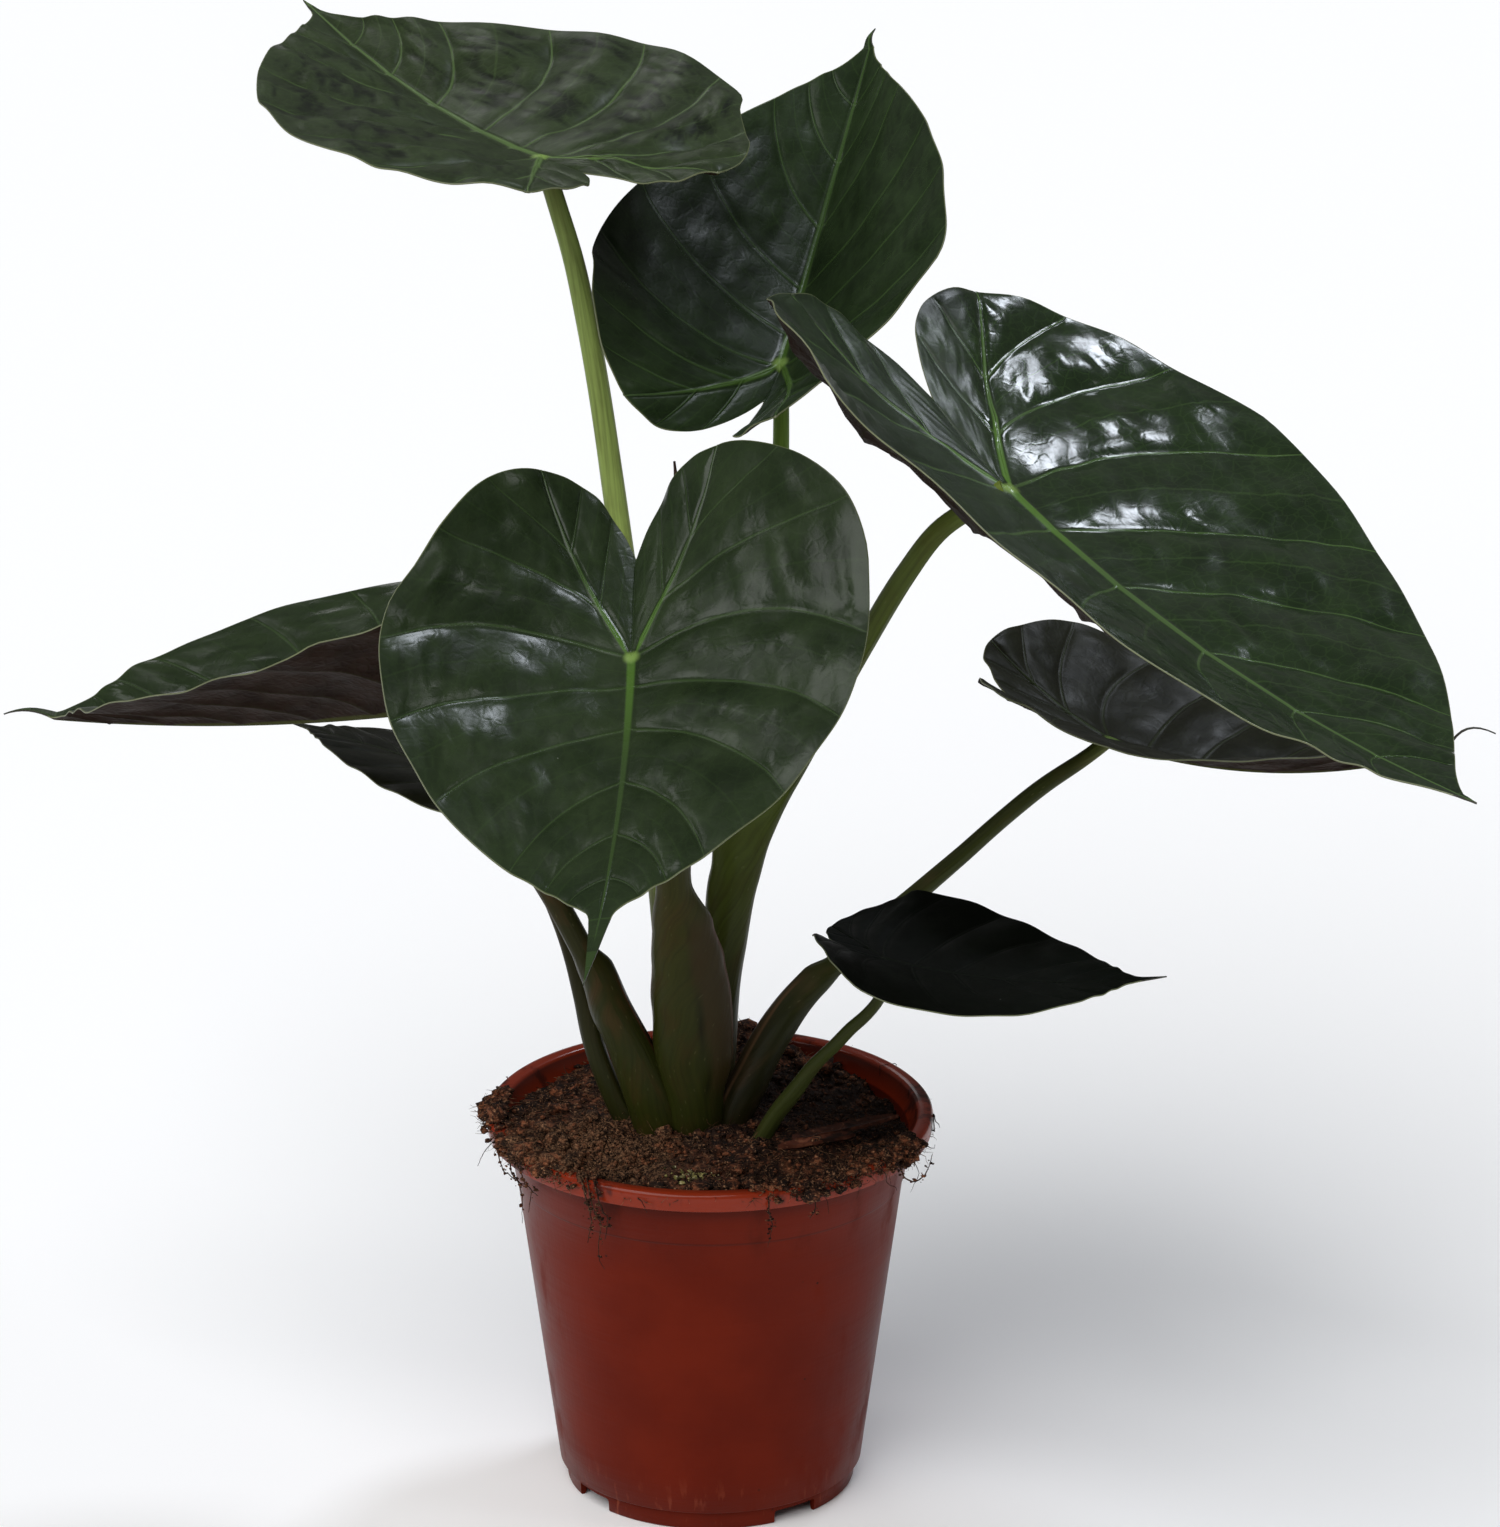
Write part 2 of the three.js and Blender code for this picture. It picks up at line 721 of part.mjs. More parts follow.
// Flat start and end of each run on one half of a blade
function flatRuns(leaf, half) {
  const outline = halfOutline(leaf, half);
  const ribEnd = outline.getPoint(RIB_KNOT / LAST_KNOT);
  return RUNS.map((run) => {
    const end = outline.getPoint(run.knot / LAST_KNOT);
    const start = ribEnd.clone().multiplyScalar(run.rib);
    if (run.start > 1) start.set(leaf.length + (run.start - 1) * leaf.drip, 0);
    else if (run.start > 0) start.set(run.start * leaf.length, 0);
    if (run.knot === LAST_KNOT) end.set(-leaf.notch, 0);
    if (run.start > 1) end.x = start.x;
    return { start, end, run };
  });
}

// A blade's two faces as grids of points, and the outward direction at each of them
function bladeGrid(leaf, index) {
  const steps = leaf.length > 120 ? ACROSS : ACROSS_SMALL;
  const grid = [];
  for (const side of [1, -1]) {
    const half = side > 0 ? leaf.leftHalf : leaf.rightHalf;
    flatRuns(leaf, half).forEach(({ start, end, run }, k) => {
      const row = steps.map((v, j) => {
        const ahead = run.start > 0 ? 0.55 * v + 0.45 * v * v : v;
        const x = THREE.MathUtils.lerp(start.x, end.x, ahead);
        const y = THREE.MathUtils.lerp(start.y, end.y, v);
        const place = bent(leaf, half, side, x, y);
        const dx = bent(leaf, half, side, x + 0.5, y).sub(bent(leaf, half, side, x - 0.5, y));
        const dy = bent(leaf, half, side, x, y + 0.5).sub(bent(leaf, half, side, x, y));
        const normal = dx.cross(dy).multiplyScalar(side).normalize();
        const random = 0.7 + 0.6 * chance(index * 97 + k * 7 + (side > 0 ? 0 : 3));
        const swell = leaf.swell * run.swell * Math.sin(Math.PI * Math.min(v, 0.97)) ** 0.7 * random;
        const wave = leaf.wave * (run.swell > 0.5 ? 1 : -0.7) * v ** 3 * random;
        const onMidrib = j === 0 && run.rib === 0;
        const rise = onMidrib || k < 3 || k === RUNS.length - 1 ? 0 : swell + wave;
        const ribShare = j > 0 ? 0 : 1;
        const fade = run.start > 0 ? 1.1 - Math.min(run.start, 1) : 1;
        const tall = run.rib > 0 ? SIDE_RIB_HEIGHT * (1 - run.rib) : MIDRIB_HEIGHT * fade;
        const small = Math.min(1, leaf.length / 180);
        return { place, normal, rise, rib: k > 0 ? ribShare * tall * small : 0, onMidrib, x, y };
      });
      grid.push(row);
    });
  }
  return levelled(grid);
}

// On the midrib the two halves share one normal
function levelled(grid) {
  const halfway = grid.length / 2;
  for (let k = 0; k < halfway; k += 1) {
    const [a, b] = [grid[k][0], grid[k + halfway][0]];
    const whole = k === 0 || k === halfway - 1;
    const pairs = whole ? grid[k].map((cell, j) => [cell, grid[k + halfway][j]]) : a.onMidrib ? [[a, b]] : [];
    for (const [p, q] of pairs) {
      const shared = p.normal.clone().add(q.normal).normalize();
      p.normal.copy(shared);
      q.normal.copy(shared);
    }
  }
  for (const row of [grid[0], grid[halfway]]) {
    for (const cell of row) cell.normal.copy(grid[0][0].normal);
  }
  const hub = grid[halfway - 1][0].normal;
  for (const row of grid) {
    if (row[0].onMidrib && Math.hypot(row[0].x, row[0].y) < 1e-6) row[0].normal.copy(hub);
  }
  return grid;
}

// Joins a blade's grid into a closed sheet from one offset below the leaf's surface to one above it
function sheetGeometry(leaf, grid, above, below) {
  const points = [];
  const triangles = [];
  const frame = leafFrame(leaf);
  const width = grid[0].length;
  const halfway = grid.length / 2;
  for (const face of [1, -1]) {
    for (const row of grid) {
      for (const cell of row) {
        const offset = face > 0 ? above : -(below + cell.rib);
        points.push(cell.place.clone().addScaledVector(cell.normal, cell.rise + offset).applyMatrix4(frame));
      }
    }
  }
  const count = grid.length * width;
  const quad = ([a, b, c, d], turned) => {
    if (turned) triangles.push([a, c, b], [a, d, c]);
    else triangles.push([a, b, c], [a, c, d]);
  };
  for (let half = 0; half < 2; half += 1) {
    for (let k = 0; k + 1 < halfway; k += 1) {
      const row = (half * halfway + k) * width;
      for (let j = 0; j + 1 < width; j += 1) {
        const corners = [row + j, row + j + 1, row + width + j + 1, row + width + j];
        quad(corners, half === 1);
        quad(corners.map((c) => c + count), half === 0);
      }
      const rim = [row + width - 1, row + 2 * width - 1];
      quad([rim[0], rim[1], rim[1] + count, rim[0] + count], half === 0);
    }
  }
  return closedGeometry(points, triangles);
}

// Section of a stalk at a share of its length
function sectionAt(sections, share) {
  const next = sections.findIndex((s) => s.at >= share);
  if (next <= 0) return sections[0];
  const [a, b] = [sections[next - 1], sections[next]];
  const t = THREE.MathUtils.smoothstep((share - a.at) / (b.at - a.at), 0, 1);
  const mixed = {};
  for (const key of ["left", "right", "back", "front"]) mixed[key] = THREE.MathUtils.lerp(a[key], b[key], t);
  return mixed;
}

// Outline of a section, moved outwards by a margin. A front below zero hollows it into a sheath.
function sectionOutline(section, margin) {
  const outline = [];
  for (let i = 0; i < STALK_SIDES; i += 1) {
    const angle = ((i + 0.5) / STALK_SIDES) * 2 * Math.PI;
    const x = Math.cos(angle) * (Math.cos(angle) > 0 ? section.right : section.left);
    const y = Math.sin(angle) * (Math.sin(angle) > 0 ? section.front : section.back);
    outline.push(new THREE.Vector2(x, y));
  }
  const outward = (from, to) => new THREE.Vector2(to.y - from.y, from.x - to.x).normalize();
  return outline.map((point, i) => {
    const before = outward(outline.at(i - 1), point);
    const after = outward(point, outline[(i + 1) % STALK_SIDES]);
    const shift = before.clone().add(after).multiplyScalar(margin / (1 + before.dot(after)));
    return point.clone().add(shift);
  });
}

// A stalk swept along its path. The section is round above and a hollowed sheath near the crown.
function stalkGeometry(stalk, swell) {
  const path = new THREE.CatmullRomCurve3(stalk.path.map((p) => new THREE.Vector3(...p)), false, "centripetal");
  const inner = new THREE.Vector3(Math.cos(rad(stalk.inner)), Math.sin(rad(stalk.inner)), 0);
  const points = [];
  const triangles = [];
  let contour = null;
  for (let k = 0; k < STALK_RINGS; k += 1) {
    const share = k / (STALK_RINGS - 1);
    const centre = path.getPointAt(share);
    const along = path.getTangentAt(share);
    const front = inner.clone().addScaledVector(along, -inner.dot(along)).normalize();
    const right = new THREE.Vector3().crossVectors(front, along);
    const section = sectionAt(stalk.sections, share);
    const outline = sectionOutline(section, swell);
    for (const { x, y } of outline) {
      points.push(centre.clone().addScaledVector(right, x).addScaledVector(front, y));
    }
    if (contour === null) contour = outline;
    if (k === 0) continue;
    const [low, high] = [(k - 1) * STALK_SIDES, k * STALK_SIDES];
    for (let i = 0; i < STALK_SIDES; i += 1) {
      const next = (i + 1) % STALK_SIDES;
      triangles.push([low + i, low + next, high + next], [low + i, high + next, high + i]);
    }
  }
  const last = (STALK_RINGS - 1) * STALK_SIDES;
  for (const [a, b, c] of THREE.ShapeUtils.triangulateShape(contour, [])) triangles.push([c, b, a]);
  for (let i = 1; i + 1 < STALK_SIDES; i += 1) triangles.push([last, last + i, last + i + 1]);
  return closedGeometry(points, triangles);
}

const plant = new THREE.Group();

function addPiece(name, geometry, finish) {
  const flat = geometry.index ? geometry.toNonIndexed() : geometry;
  flat.computeVertexNormals();
  const mesh = new THREE.Mesh(flat, new THREE.MeshStandardMaterial({ ...FINISHES[finish], metalness: 0 }));
  mesh.name = name;
  plant.add(mesh);
}

// Blades first, with the slab under each one that its stalk is trimmed to
const trims = {};
Object.entries(LEAVES).forEach(([name, leaf], index) => {
  const grid = bladeGrid(leaf, index);
  const dark = leaf.length < 120 || name === "right_lower";
  addPiece(`blade_${name}`, sheetGeometry(leaf, grid, 0, BLADE_THICKNESS), dark ? "darkBlade" : "blade");
  trims[name] = toSolid(sheetGeometry(leaf, grid, 6, BLADE_THICKNESS + GAP));
});

// Stalks, from the innermost at the crown outwards
let taken = null;
const claim = (stalk) => {
  const space = toSolid(stalkGeometry(stalk, GAP));
  taken = taken === null ? space : taken.add(space);
};
for (const name of CROWN_ORDER) {
  const { stalk } = LEAVES[name];
  let solid = toSolid(stalkGeometry(stalk, 0)).subtract(trims[name]);
  if (taken !== null) solid = solid.subtract(taken);
  addPiece(`stalk_${name}`, toGeometry(largestBody(solid)), "stalk");
  claim(stalk);
}
const young = toSolid(stalkGeometry(YOUNG_LEAF, 0)).subtract(taken);
addPiece("young_leaf", toGeometry(largestBody(young)), "youngLeaf");
claim(YOUNG_LEAF);

// Pot, and the soil with the holes that the stalks stand in
addPiece("pot", toGeometry(potGeometry()), "pot");
addPiece("soil", toGeometry(largestBody(toSolid(soilGeometry()).subtract(taken))), "soil");

// The part's origin is under the middle of the whole plant, at the floor
const bounds = new THREE.Box3().setFromObject(plant);
const middle = bounds.getCenter(new THREE.Vector3());
plant.position.set(-middle.x, -middle.y, -bounds.min.z);

const part = new THREE.Group();
part.add(plant);
export default part;
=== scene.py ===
"""A potted alocasia with heart-shaped leaves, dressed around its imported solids.

Lengths are in metres, apart from the fields of the plant's own shapes, which are in millimetres as their
docstrings say. The plant's frame has its origin on the pot's axis at the floor, +X to the right as the camera
sees it and +Y away from the camera.
"""
import logging
import math
from contextlib import contextmanager
from dataclasses import dataclass
from enum import Enum
from typing import Callable, Iterator, Optional, Protocol, Sequence

import bpy
import numpy as np
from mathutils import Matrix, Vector


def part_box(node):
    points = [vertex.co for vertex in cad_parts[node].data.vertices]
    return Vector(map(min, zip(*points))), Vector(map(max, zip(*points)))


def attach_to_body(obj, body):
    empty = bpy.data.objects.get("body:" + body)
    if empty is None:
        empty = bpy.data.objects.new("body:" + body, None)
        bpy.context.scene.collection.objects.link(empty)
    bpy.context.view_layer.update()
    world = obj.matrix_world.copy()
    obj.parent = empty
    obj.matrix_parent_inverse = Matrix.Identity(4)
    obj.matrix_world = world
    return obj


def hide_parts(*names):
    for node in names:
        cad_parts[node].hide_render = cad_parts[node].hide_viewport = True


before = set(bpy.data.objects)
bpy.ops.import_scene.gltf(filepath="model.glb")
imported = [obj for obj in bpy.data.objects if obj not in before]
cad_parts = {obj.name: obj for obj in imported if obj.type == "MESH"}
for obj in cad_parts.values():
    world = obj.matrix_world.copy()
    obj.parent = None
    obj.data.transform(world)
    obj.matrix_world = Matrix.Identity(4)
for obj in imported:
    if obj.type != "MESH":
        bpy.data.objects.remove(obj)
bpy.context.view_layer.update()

log = logging.getLogger("potted_alocasia")

MM = 0.001
SAME_PLACE = 1e-6
BODY = "root"
POT_LOW, POT_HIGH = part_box("pot")
PLANT_ORIGIN = np.array([(POT_LOW.x + POT_HIGH.x) / 2, (POT_LOW.y + POT_HIGH.y) / 2, 0.0])

Tint = tuple[int, int, int]
Place = tuple[float, float, float]
Socket = bpy.types.NodeSocket
Piece = bpy.types.Object
Array = np.ndarray
Rows = dict[str, Array]


def placed(points_mm: Array) -> Array:
    """Moves points from the plant's frame in millimetres to the scene in metres."""
    return np.asarray(points_mm, float) * MM + PLANT_ORIGIN


def smoothstep(low: float, high: float, value: Array) -> Array:
    """A soft step from 0 at low to 1 at high."""
    t = np.clip((np.asarray(value, float) - low) / (high - low), 0.0, 1.0)
    return t * t * (3 - 2 * t)


def unit(vectors: Array) -> Array:
    """Vectors along the last axis brought to length 1."""
    return vectors / np.maximum(np.linalg.norm(vectors, axis=-1, keepdims=True), 1e-9)


def hermite(start: Array, end: Array, leave: Array, arrive: Array, t: Array) -> Array:
    """Places at shares t of a curve from start to end that leaves and arrives with given slopes."""
    cubic = (2 * start - 2 * end + leave + arrive) * t**3
    return cubic + (-3 * start + 3 * end - 2 * leave - arrive) * t**2 + leave * t + start


def linear(tint: Tint) -> tuple[float, float, float, float]:
    """A shader's linear colour from an 8-bit screen colour."""
    parts = [c / 255 for c in tint]
    return (*[p / 12.92 if p <= 0.04045 else ((p + 0.055) / 1.055) ** 2.4 for p in parts], 1.0)


class NoiseField:
    """Smooth seeded noise in space, from about -1 to 1, in which one unit is about one bump."""

    def __init__(self, seed: int) -> None:
        """Draws the field's random directions.

        Args:
            seed: The same seed gives the same field.
        """
        draw = np.random.default_rng(seed)
        self.order = np.tile(draw.permutation(256), 4)
        self.directions = unit(draw.normal(size=(256, 3)))

    def __call__(self, x: Array, y: Array, z: Array | float = 0.0) -> Array:
        """The noise at some places.

        Args:
            x: First coordinates.
            y: Second coordinates.
            z: Third coordinates.

        Returns:
            The noise, in the shape that the coordinates have together.
        """
        place = np.stack(np.broadcast_arrays(*(np.asarray(c, float) for c in (x, y, z))), -1)
        cell = np.floor(place).astype(int)
        inside = place - cell
        fade = inside**3 * (inside * (inside * 6 - 15) + 10)
        total = np.zeros(place.shape[:-1])
        for corner in np.ndindex(2, 2, 2):
            i, j, k = np.moveaxis((cell + corner) % 256, -1, 0)
            toward = self.directions[self.order[self.order[self.order[i] + j] + k]]
            weight = np.prod(np.where(corner, fade, 1 - fade), axis=-1)
            total += weight * np.sum(toward * (inside - corner), axis=-1)
        return 1.6 * total

    def layered(self, x: Array, y: Array, z: Array | float, layers: int) -> Array:
        """Noise with finer layers on it, each half as high and half as wide as the one before."""
        return sum(self(x * 2.0**k, y * 2.0**k, z * 2.0**k) / 2.0**k for k in range(layers))


# Modelling


def deselect_all() -> None:
    """Leaves nothing selected, so that an operator touches only what is made next."""
    if bpy.context.mode != "OBJECT":
        bpy.ops.object.mode_set(mode="OBJECT")
    bpy.ops.object.select_all(action="DESELECT")


def make_active(piece: Piece) -> None:
    """Selects one object alone and makes it the active one.

    Args:
        piece: The object.
    """
    deselect_all()
    piece.select_set(True)
    bpy.context.view_layer.objects.active = piece


def added(name: str, operator: Callable[..., object], **settings: object) -> Piece:
    """Runs an operator that adds an object.

    Args:
        name: The object's name.
        operator: The operator.
        settings: What it is given.

    Returns:
        The new object, which is active and alone selected.
    """
    deselect_all()
    operator(**settings)
    piece = bpy.context.object
    piece.name = name
    piece.data.name = name
    return piece


@contextmanager
def editing(piece: Piece, select_mode: str = "VERT") -> Iterator[None]:
    """Edit mode with all of a piece selected.

    Args:
        piece: The object.
        select_mode: What is picked in it, VERT or EDGE.

    Yields:
        Nothing, while edit mode lasts.
    """
    make_active(piece)
    bpy.ops.object.mode_set(mode="EDIT")
    bpy.ops.mesh.select_mode(type=select_mode)
    bpy.ops.mesh.select_all(action="SELECT")
    yield
    bpy.ops.mesh.select_mode(type="VERT")
    bpy.ops.object.mode_set(mode="OBJECT")


def turn_outwards() -> None:
    """Turns all faces of the piece in edit mode outwards."""
    bpy.ops.mesh.select_all(action="SELECT")
    bpy.ops.mesh.normals_make_consistent(inside=False)


def apply_modifier(piece: Piece, kind: str, **settings: object) -> None:
    """Adds a modifier to a piece and applies it at once.

    Args:
        piece: The object to change.
        kind: The modifier's type, as Blender names it.
        settings: The modifier's properties.
    """
    make_active(piece)
    modifier = piece.modifiers.new(kind.title(), kind)
    for key, value in settings.items():
        setattr(modifier, key, value)
    bpy.ops.object.modifier_apply(modifier=modifier.name)


def smooth(piece: Piece, crease_degrees: Optional[float] = None) -> None:
    """Shades a piece smoothly.

    Args:
        piece: The object.
        crease_degrees: Edges sharper than this stay sharp.
    """
    make_active(piece)
    if crease_degrees is None:
        bpy.ops.object.shade_smooth()
    else:
        bpy.ops.object.shade_smooth_by_angle(angle=math.radians(crease_degrees))


def read(
    items: bpy.types.bpy_prop_collection, key: str, width: int = 1, kind: type = np.float32,
) -> Array:
    """Reads one property of all vertices, corners or attribute values of a mesh.

    Args:
        items: What has the property.
        key: The property.
        width: How many numbers it has.
        kind: Their type.

    Returns:
        One row for each item.
    """
    values = np.empty(len(items) * width, kind)
    items.foreach_get(key, values)
    return values.reshape(-1, width)


def vertices_of(piece: Piece) -> Array:
    """The places of a mesh's vertices, one row of x, y, z for each."""
    return read(piece.data.vertices, "co", 3).astype(float)


def set_vertices(piece: Piece, places: Array) -> None:
    """Lays a mesh's vertices at new places."""
    piece.data.vertices.foreach_set("co", np.asarray(places, np.float32).reshape(-1))
    piece.data.update()


def read_attribute(piece: Piece, name: str) -> Array:
    """Reads back the numbers stored at the vertices under a name."""
    return read(piece.data.attributes[name].data, "value")[:, 0].astype(float)


def write_attribute(piece: Piece, name: str, values: Array) -> None:
    """Stores a number at each vertex under a name, for a material to read."""
    attribute = piece.data.attributes.new(name, "FLOAT", "POINT")
    attribute.data.foreach_set("value", np.asarray(values, np.float32).reshape(-1))


def write_uv(piece: Piece, name: str, places: Array) -> None:
    """Stores a flat place for each vertex as a UV map.

    Args:
        piece: The mesh.
        name: The map's name.
        places: One row of two numbers for each vertex.
    """
    corners = read(piece.data.loops, "vertex_index", 1, np.int32)[:, 0]
    values = np.asarray(places, np.float32)[corners].reshape(-1)
    piece.data.uv_layers.new(name=name).data.foreach_set("uv", values)


def clear_uv(piece: Piece) -> None:
    """Removes the UV maps that a primitive comes with."""
    while piece.data.uv_layers:
        piece.data.uv_layers.remove(piece.data.uv_layers[0])


def sheet(name: str, places: Array) -> Piece:
    """A grid of quads laid over rows and columns of places.

    Args:
        name: The object's name.
        places: Rows, columns and x, y, z. It faces along columns crossed with rows.

    Returns:
        The object.
    """
    rows, columns = places.shape[:2]
    grid = bpy.ops.mesh.primitive_grid_add
    piece = added(name, grid, x_subdivisions=columns - 1, y_subdivisions=rows - 1, size=1)
    clear_uv(piece)
    set_vertices(piece, places.reshape(-1, 3))
    return piece


def repeated(name: str, faces: Sequence[Sequence[int]], places: Array) -> Piece:
    """One object that holds many copies of a shape, each with its own vertex places.

    Args:
        name: The object's name.
        faces: One copy's faces, by the numbers of their vertices.
        places: Copies, vertices and x, y, z.

    Returns:
        The object.
    """
    first = (np.arange(len(places)) * places.shape[1])[:, None, None]
    every = (np.array(faces)[None] + first).reshape(-1, len(faces[0]))
    mesh = bpy.data.meshes.new(name)
    mesh.from_pydata(places.reshape(-1, 3).tolist(), [], every.tolist())
    mesh.update()
    piece = bpy.data.objects.new(name, mesh)
    bpy.context.scene.collection.objects.link(piece)
    smooth(piece)
    return piece


class Finish(Protocol):
    """What can make a material."""

    def build(self) -> bpy.types.Material:
        """Makes the material."""


def coat(piece: Piece, *finishes: Finish) -> None:
    """Gives a piece its materials."""
    for finish in finishes:
        piece.data.materials.append(finish.build())


def hand_over(piece: Piece, node: Optional[str] = None) -> Piece:
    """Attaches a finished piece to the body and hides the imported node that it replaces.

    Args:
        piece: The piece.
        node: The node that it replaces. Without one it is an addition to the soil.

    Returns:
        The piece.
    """
    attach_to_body(piece, BODY)
    if node:
        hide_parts(node)
    return piece


# Materials


class Recipe:
    """A node material that is being put together round one Principled shader."""

    def __init__(self, name: str) -> None:
        """Starts an empty material.

        Args:
            name: The material's name.
        """
        self.material = bpy.data.materials.new(name)
        self.material.use_nodes = True
        self.tree = self.material.node_tree

    def feed(self, node: bpy.types.Node, inputs: dict[str | int, object]) -> None:
        """Links or sets a node's inputs.

        Args:
            node: The node.
            inputs: A socket, tint, number or vector for each input, by its name or its number.
        """
        for key, value in inputs.items():
            socket = node.inputs[key]
            if isinstance(value, Socket):
                self.tree.links.new(value, socket)
            else:
                socket.default_value = linear(value) if socket.type == "RGBA" else value

    def node(self, kind: str, output: str | int, inputs: dict[str | int, object], **options: str) -> Socket:
        """Adds a node.

        Args:
            kind: The node's type, without the words that all start with.
            output: Which output is wanted.
            inputs: What its inputs get.
            options: Its own options.

        Returns:
            The output.
        """
        made = self.tree.nodes.new(f"ShaderNode{kind}")
        for key, value in options.items():
            setattr(made, key, value)
        self.feed(made, inputs)
        return made.outputs[output]

    def attribute(self, name: str) -> Socket:
        """Reads a number stored in the mesh."""
        return self.node("Attribute", "Fac", {}, attribute_name=name)

    def uv(self, name: str) -> Socket:
        """Reads one of the mesh's UV maps."""
        return self.node("UVMap", "UV", {}, uv_map=name)

    def here(self) -> Socket:
        """The place on the object, in metres."""
        return self.node("TexCoord", "Object", {})

    def part(self, vector: Socket, axis: str) -> Socket:
        """One coordinate of a vector, named X, Y or Z."""
        return self.node("SeparateXYZ", axis, {0: vector})

    def stretched(self, vector: Socket, scale: Place) -> Socket:
        """A vector with each coordinate multiplied."""
        return self.node("Mapping", "Vector", {"Vector": vector, "Scale": scale})

    def distance(self, vector: Socket, centre: Sequence[float]) -> Socket:
        """The distance from a vector to a fixed place, in metres."""
        return self.node("VectorMath", "Value", {0: vector, 1: tuple(centre)}, operation="DISTANCE")

    def noise(self, vector: Socket, scale: float, detail: float = 3.0, roughness: float = 0.55) -> Socket:
        """Cloudy noise from 0 to 1, by its bumps to the unit, its finer layers and their strength."""
        inputs = {"Vector": vector, "Scale": scale, "Detail": detail, "Roughness": roughness}
        return self.node("TexNoise", "Fac", inputs)

    def cells(self, vector: Socket, scale: float, feature: str = "F1") -> Socket:
        """Distance from the middle of a random cell, or to its edge with the feature DISTANCE_TO_EDGE."""
        return self.node("TexVoronoi", "Distance", {"Vector": vector, "Scale": scale}, feature=feature)

    def maths(self, operation: str, first: object, second: object = 0.0) -> Socket:
        """A sum or other operation on two numbers."""
        return self.node("Math", 0, {0: first, 1: second}, operation=operation)

    def times(self, first: object, second: object) -> Socket:
        """Two numbers multiplied."""
        return self.maths("MULTIPLY", first, second)

    def remap(
        self, value: Socket, low: float, high: float, to_low: float = 0.0, to_high: float = 1.0,
    ) -> Socket:
        """Stretches the span from low to high softly onto another span, and stays within it."""
        inputs = {"Value": value, "From Min": low, "From Max": high, "To Min": to_low, "To Max": to_high}
        return self.node("MapRange", "Result", inputs, interpolation_type="SMOOTHSTEP")

    def mix(self, share: object, first: object, second: object) -> Socket:
        """A mix of two colours or tints, with a share of the second."""
        return self.node("Mix", 2, {0: share, 6: first, 7: second}, data_type="RGBA")

    def over(self, colour: object, *layers: tuple[object, float, float, float, object]) -> Socket:
        """Lays tints over a colour.

        Args:
            colour: What they lie on.
            layers: For each, the number or the attribute that steers it, where that hides it and where it
                shows it most, how much of it shows there, and the tint.

        Returns:
            The new colour.
        """
        for steer, hidden, shown, share, tint in layers:
            value = self.attribute(steer) if isinstance(steer, str) else steer
            colour = self.mix(self.remap(value, hidden, shown, 0.0, share), colour, tint)
        return colour

    def relief(self, *layers: tuple[Socket, float, float]) -> Socket:
        """Fine reliefs laid on one another.

        Args:
            layers: For each, its height from 0 to 1, the metres that 1 stands for, and how much of it shows.

        Returns:
            The normal.
        """
        under: dict[str | int, object] = {}
        for height, distance, strength in layers:
            inputs = {"Height": height, "Distance": distance, "Strength": strength, **under}
            under = {"Normal": self.node("Bump", "Normal", inputs)}
        return under["Normal"]

    def finish(self, **inputs: object) -> bpy.types.Material:
        """Feeds the shader's inputs.

        Args:
            inputs: A socket, tint or number for each input, named with _ for a space.

        Returns:
            The finished material.
        """
        shader = self.tree.nodes["Principled BSDF"]
        self.feed(shader, {key.replace("_", " "): value for key, value in inputs.items()})
        return self.material


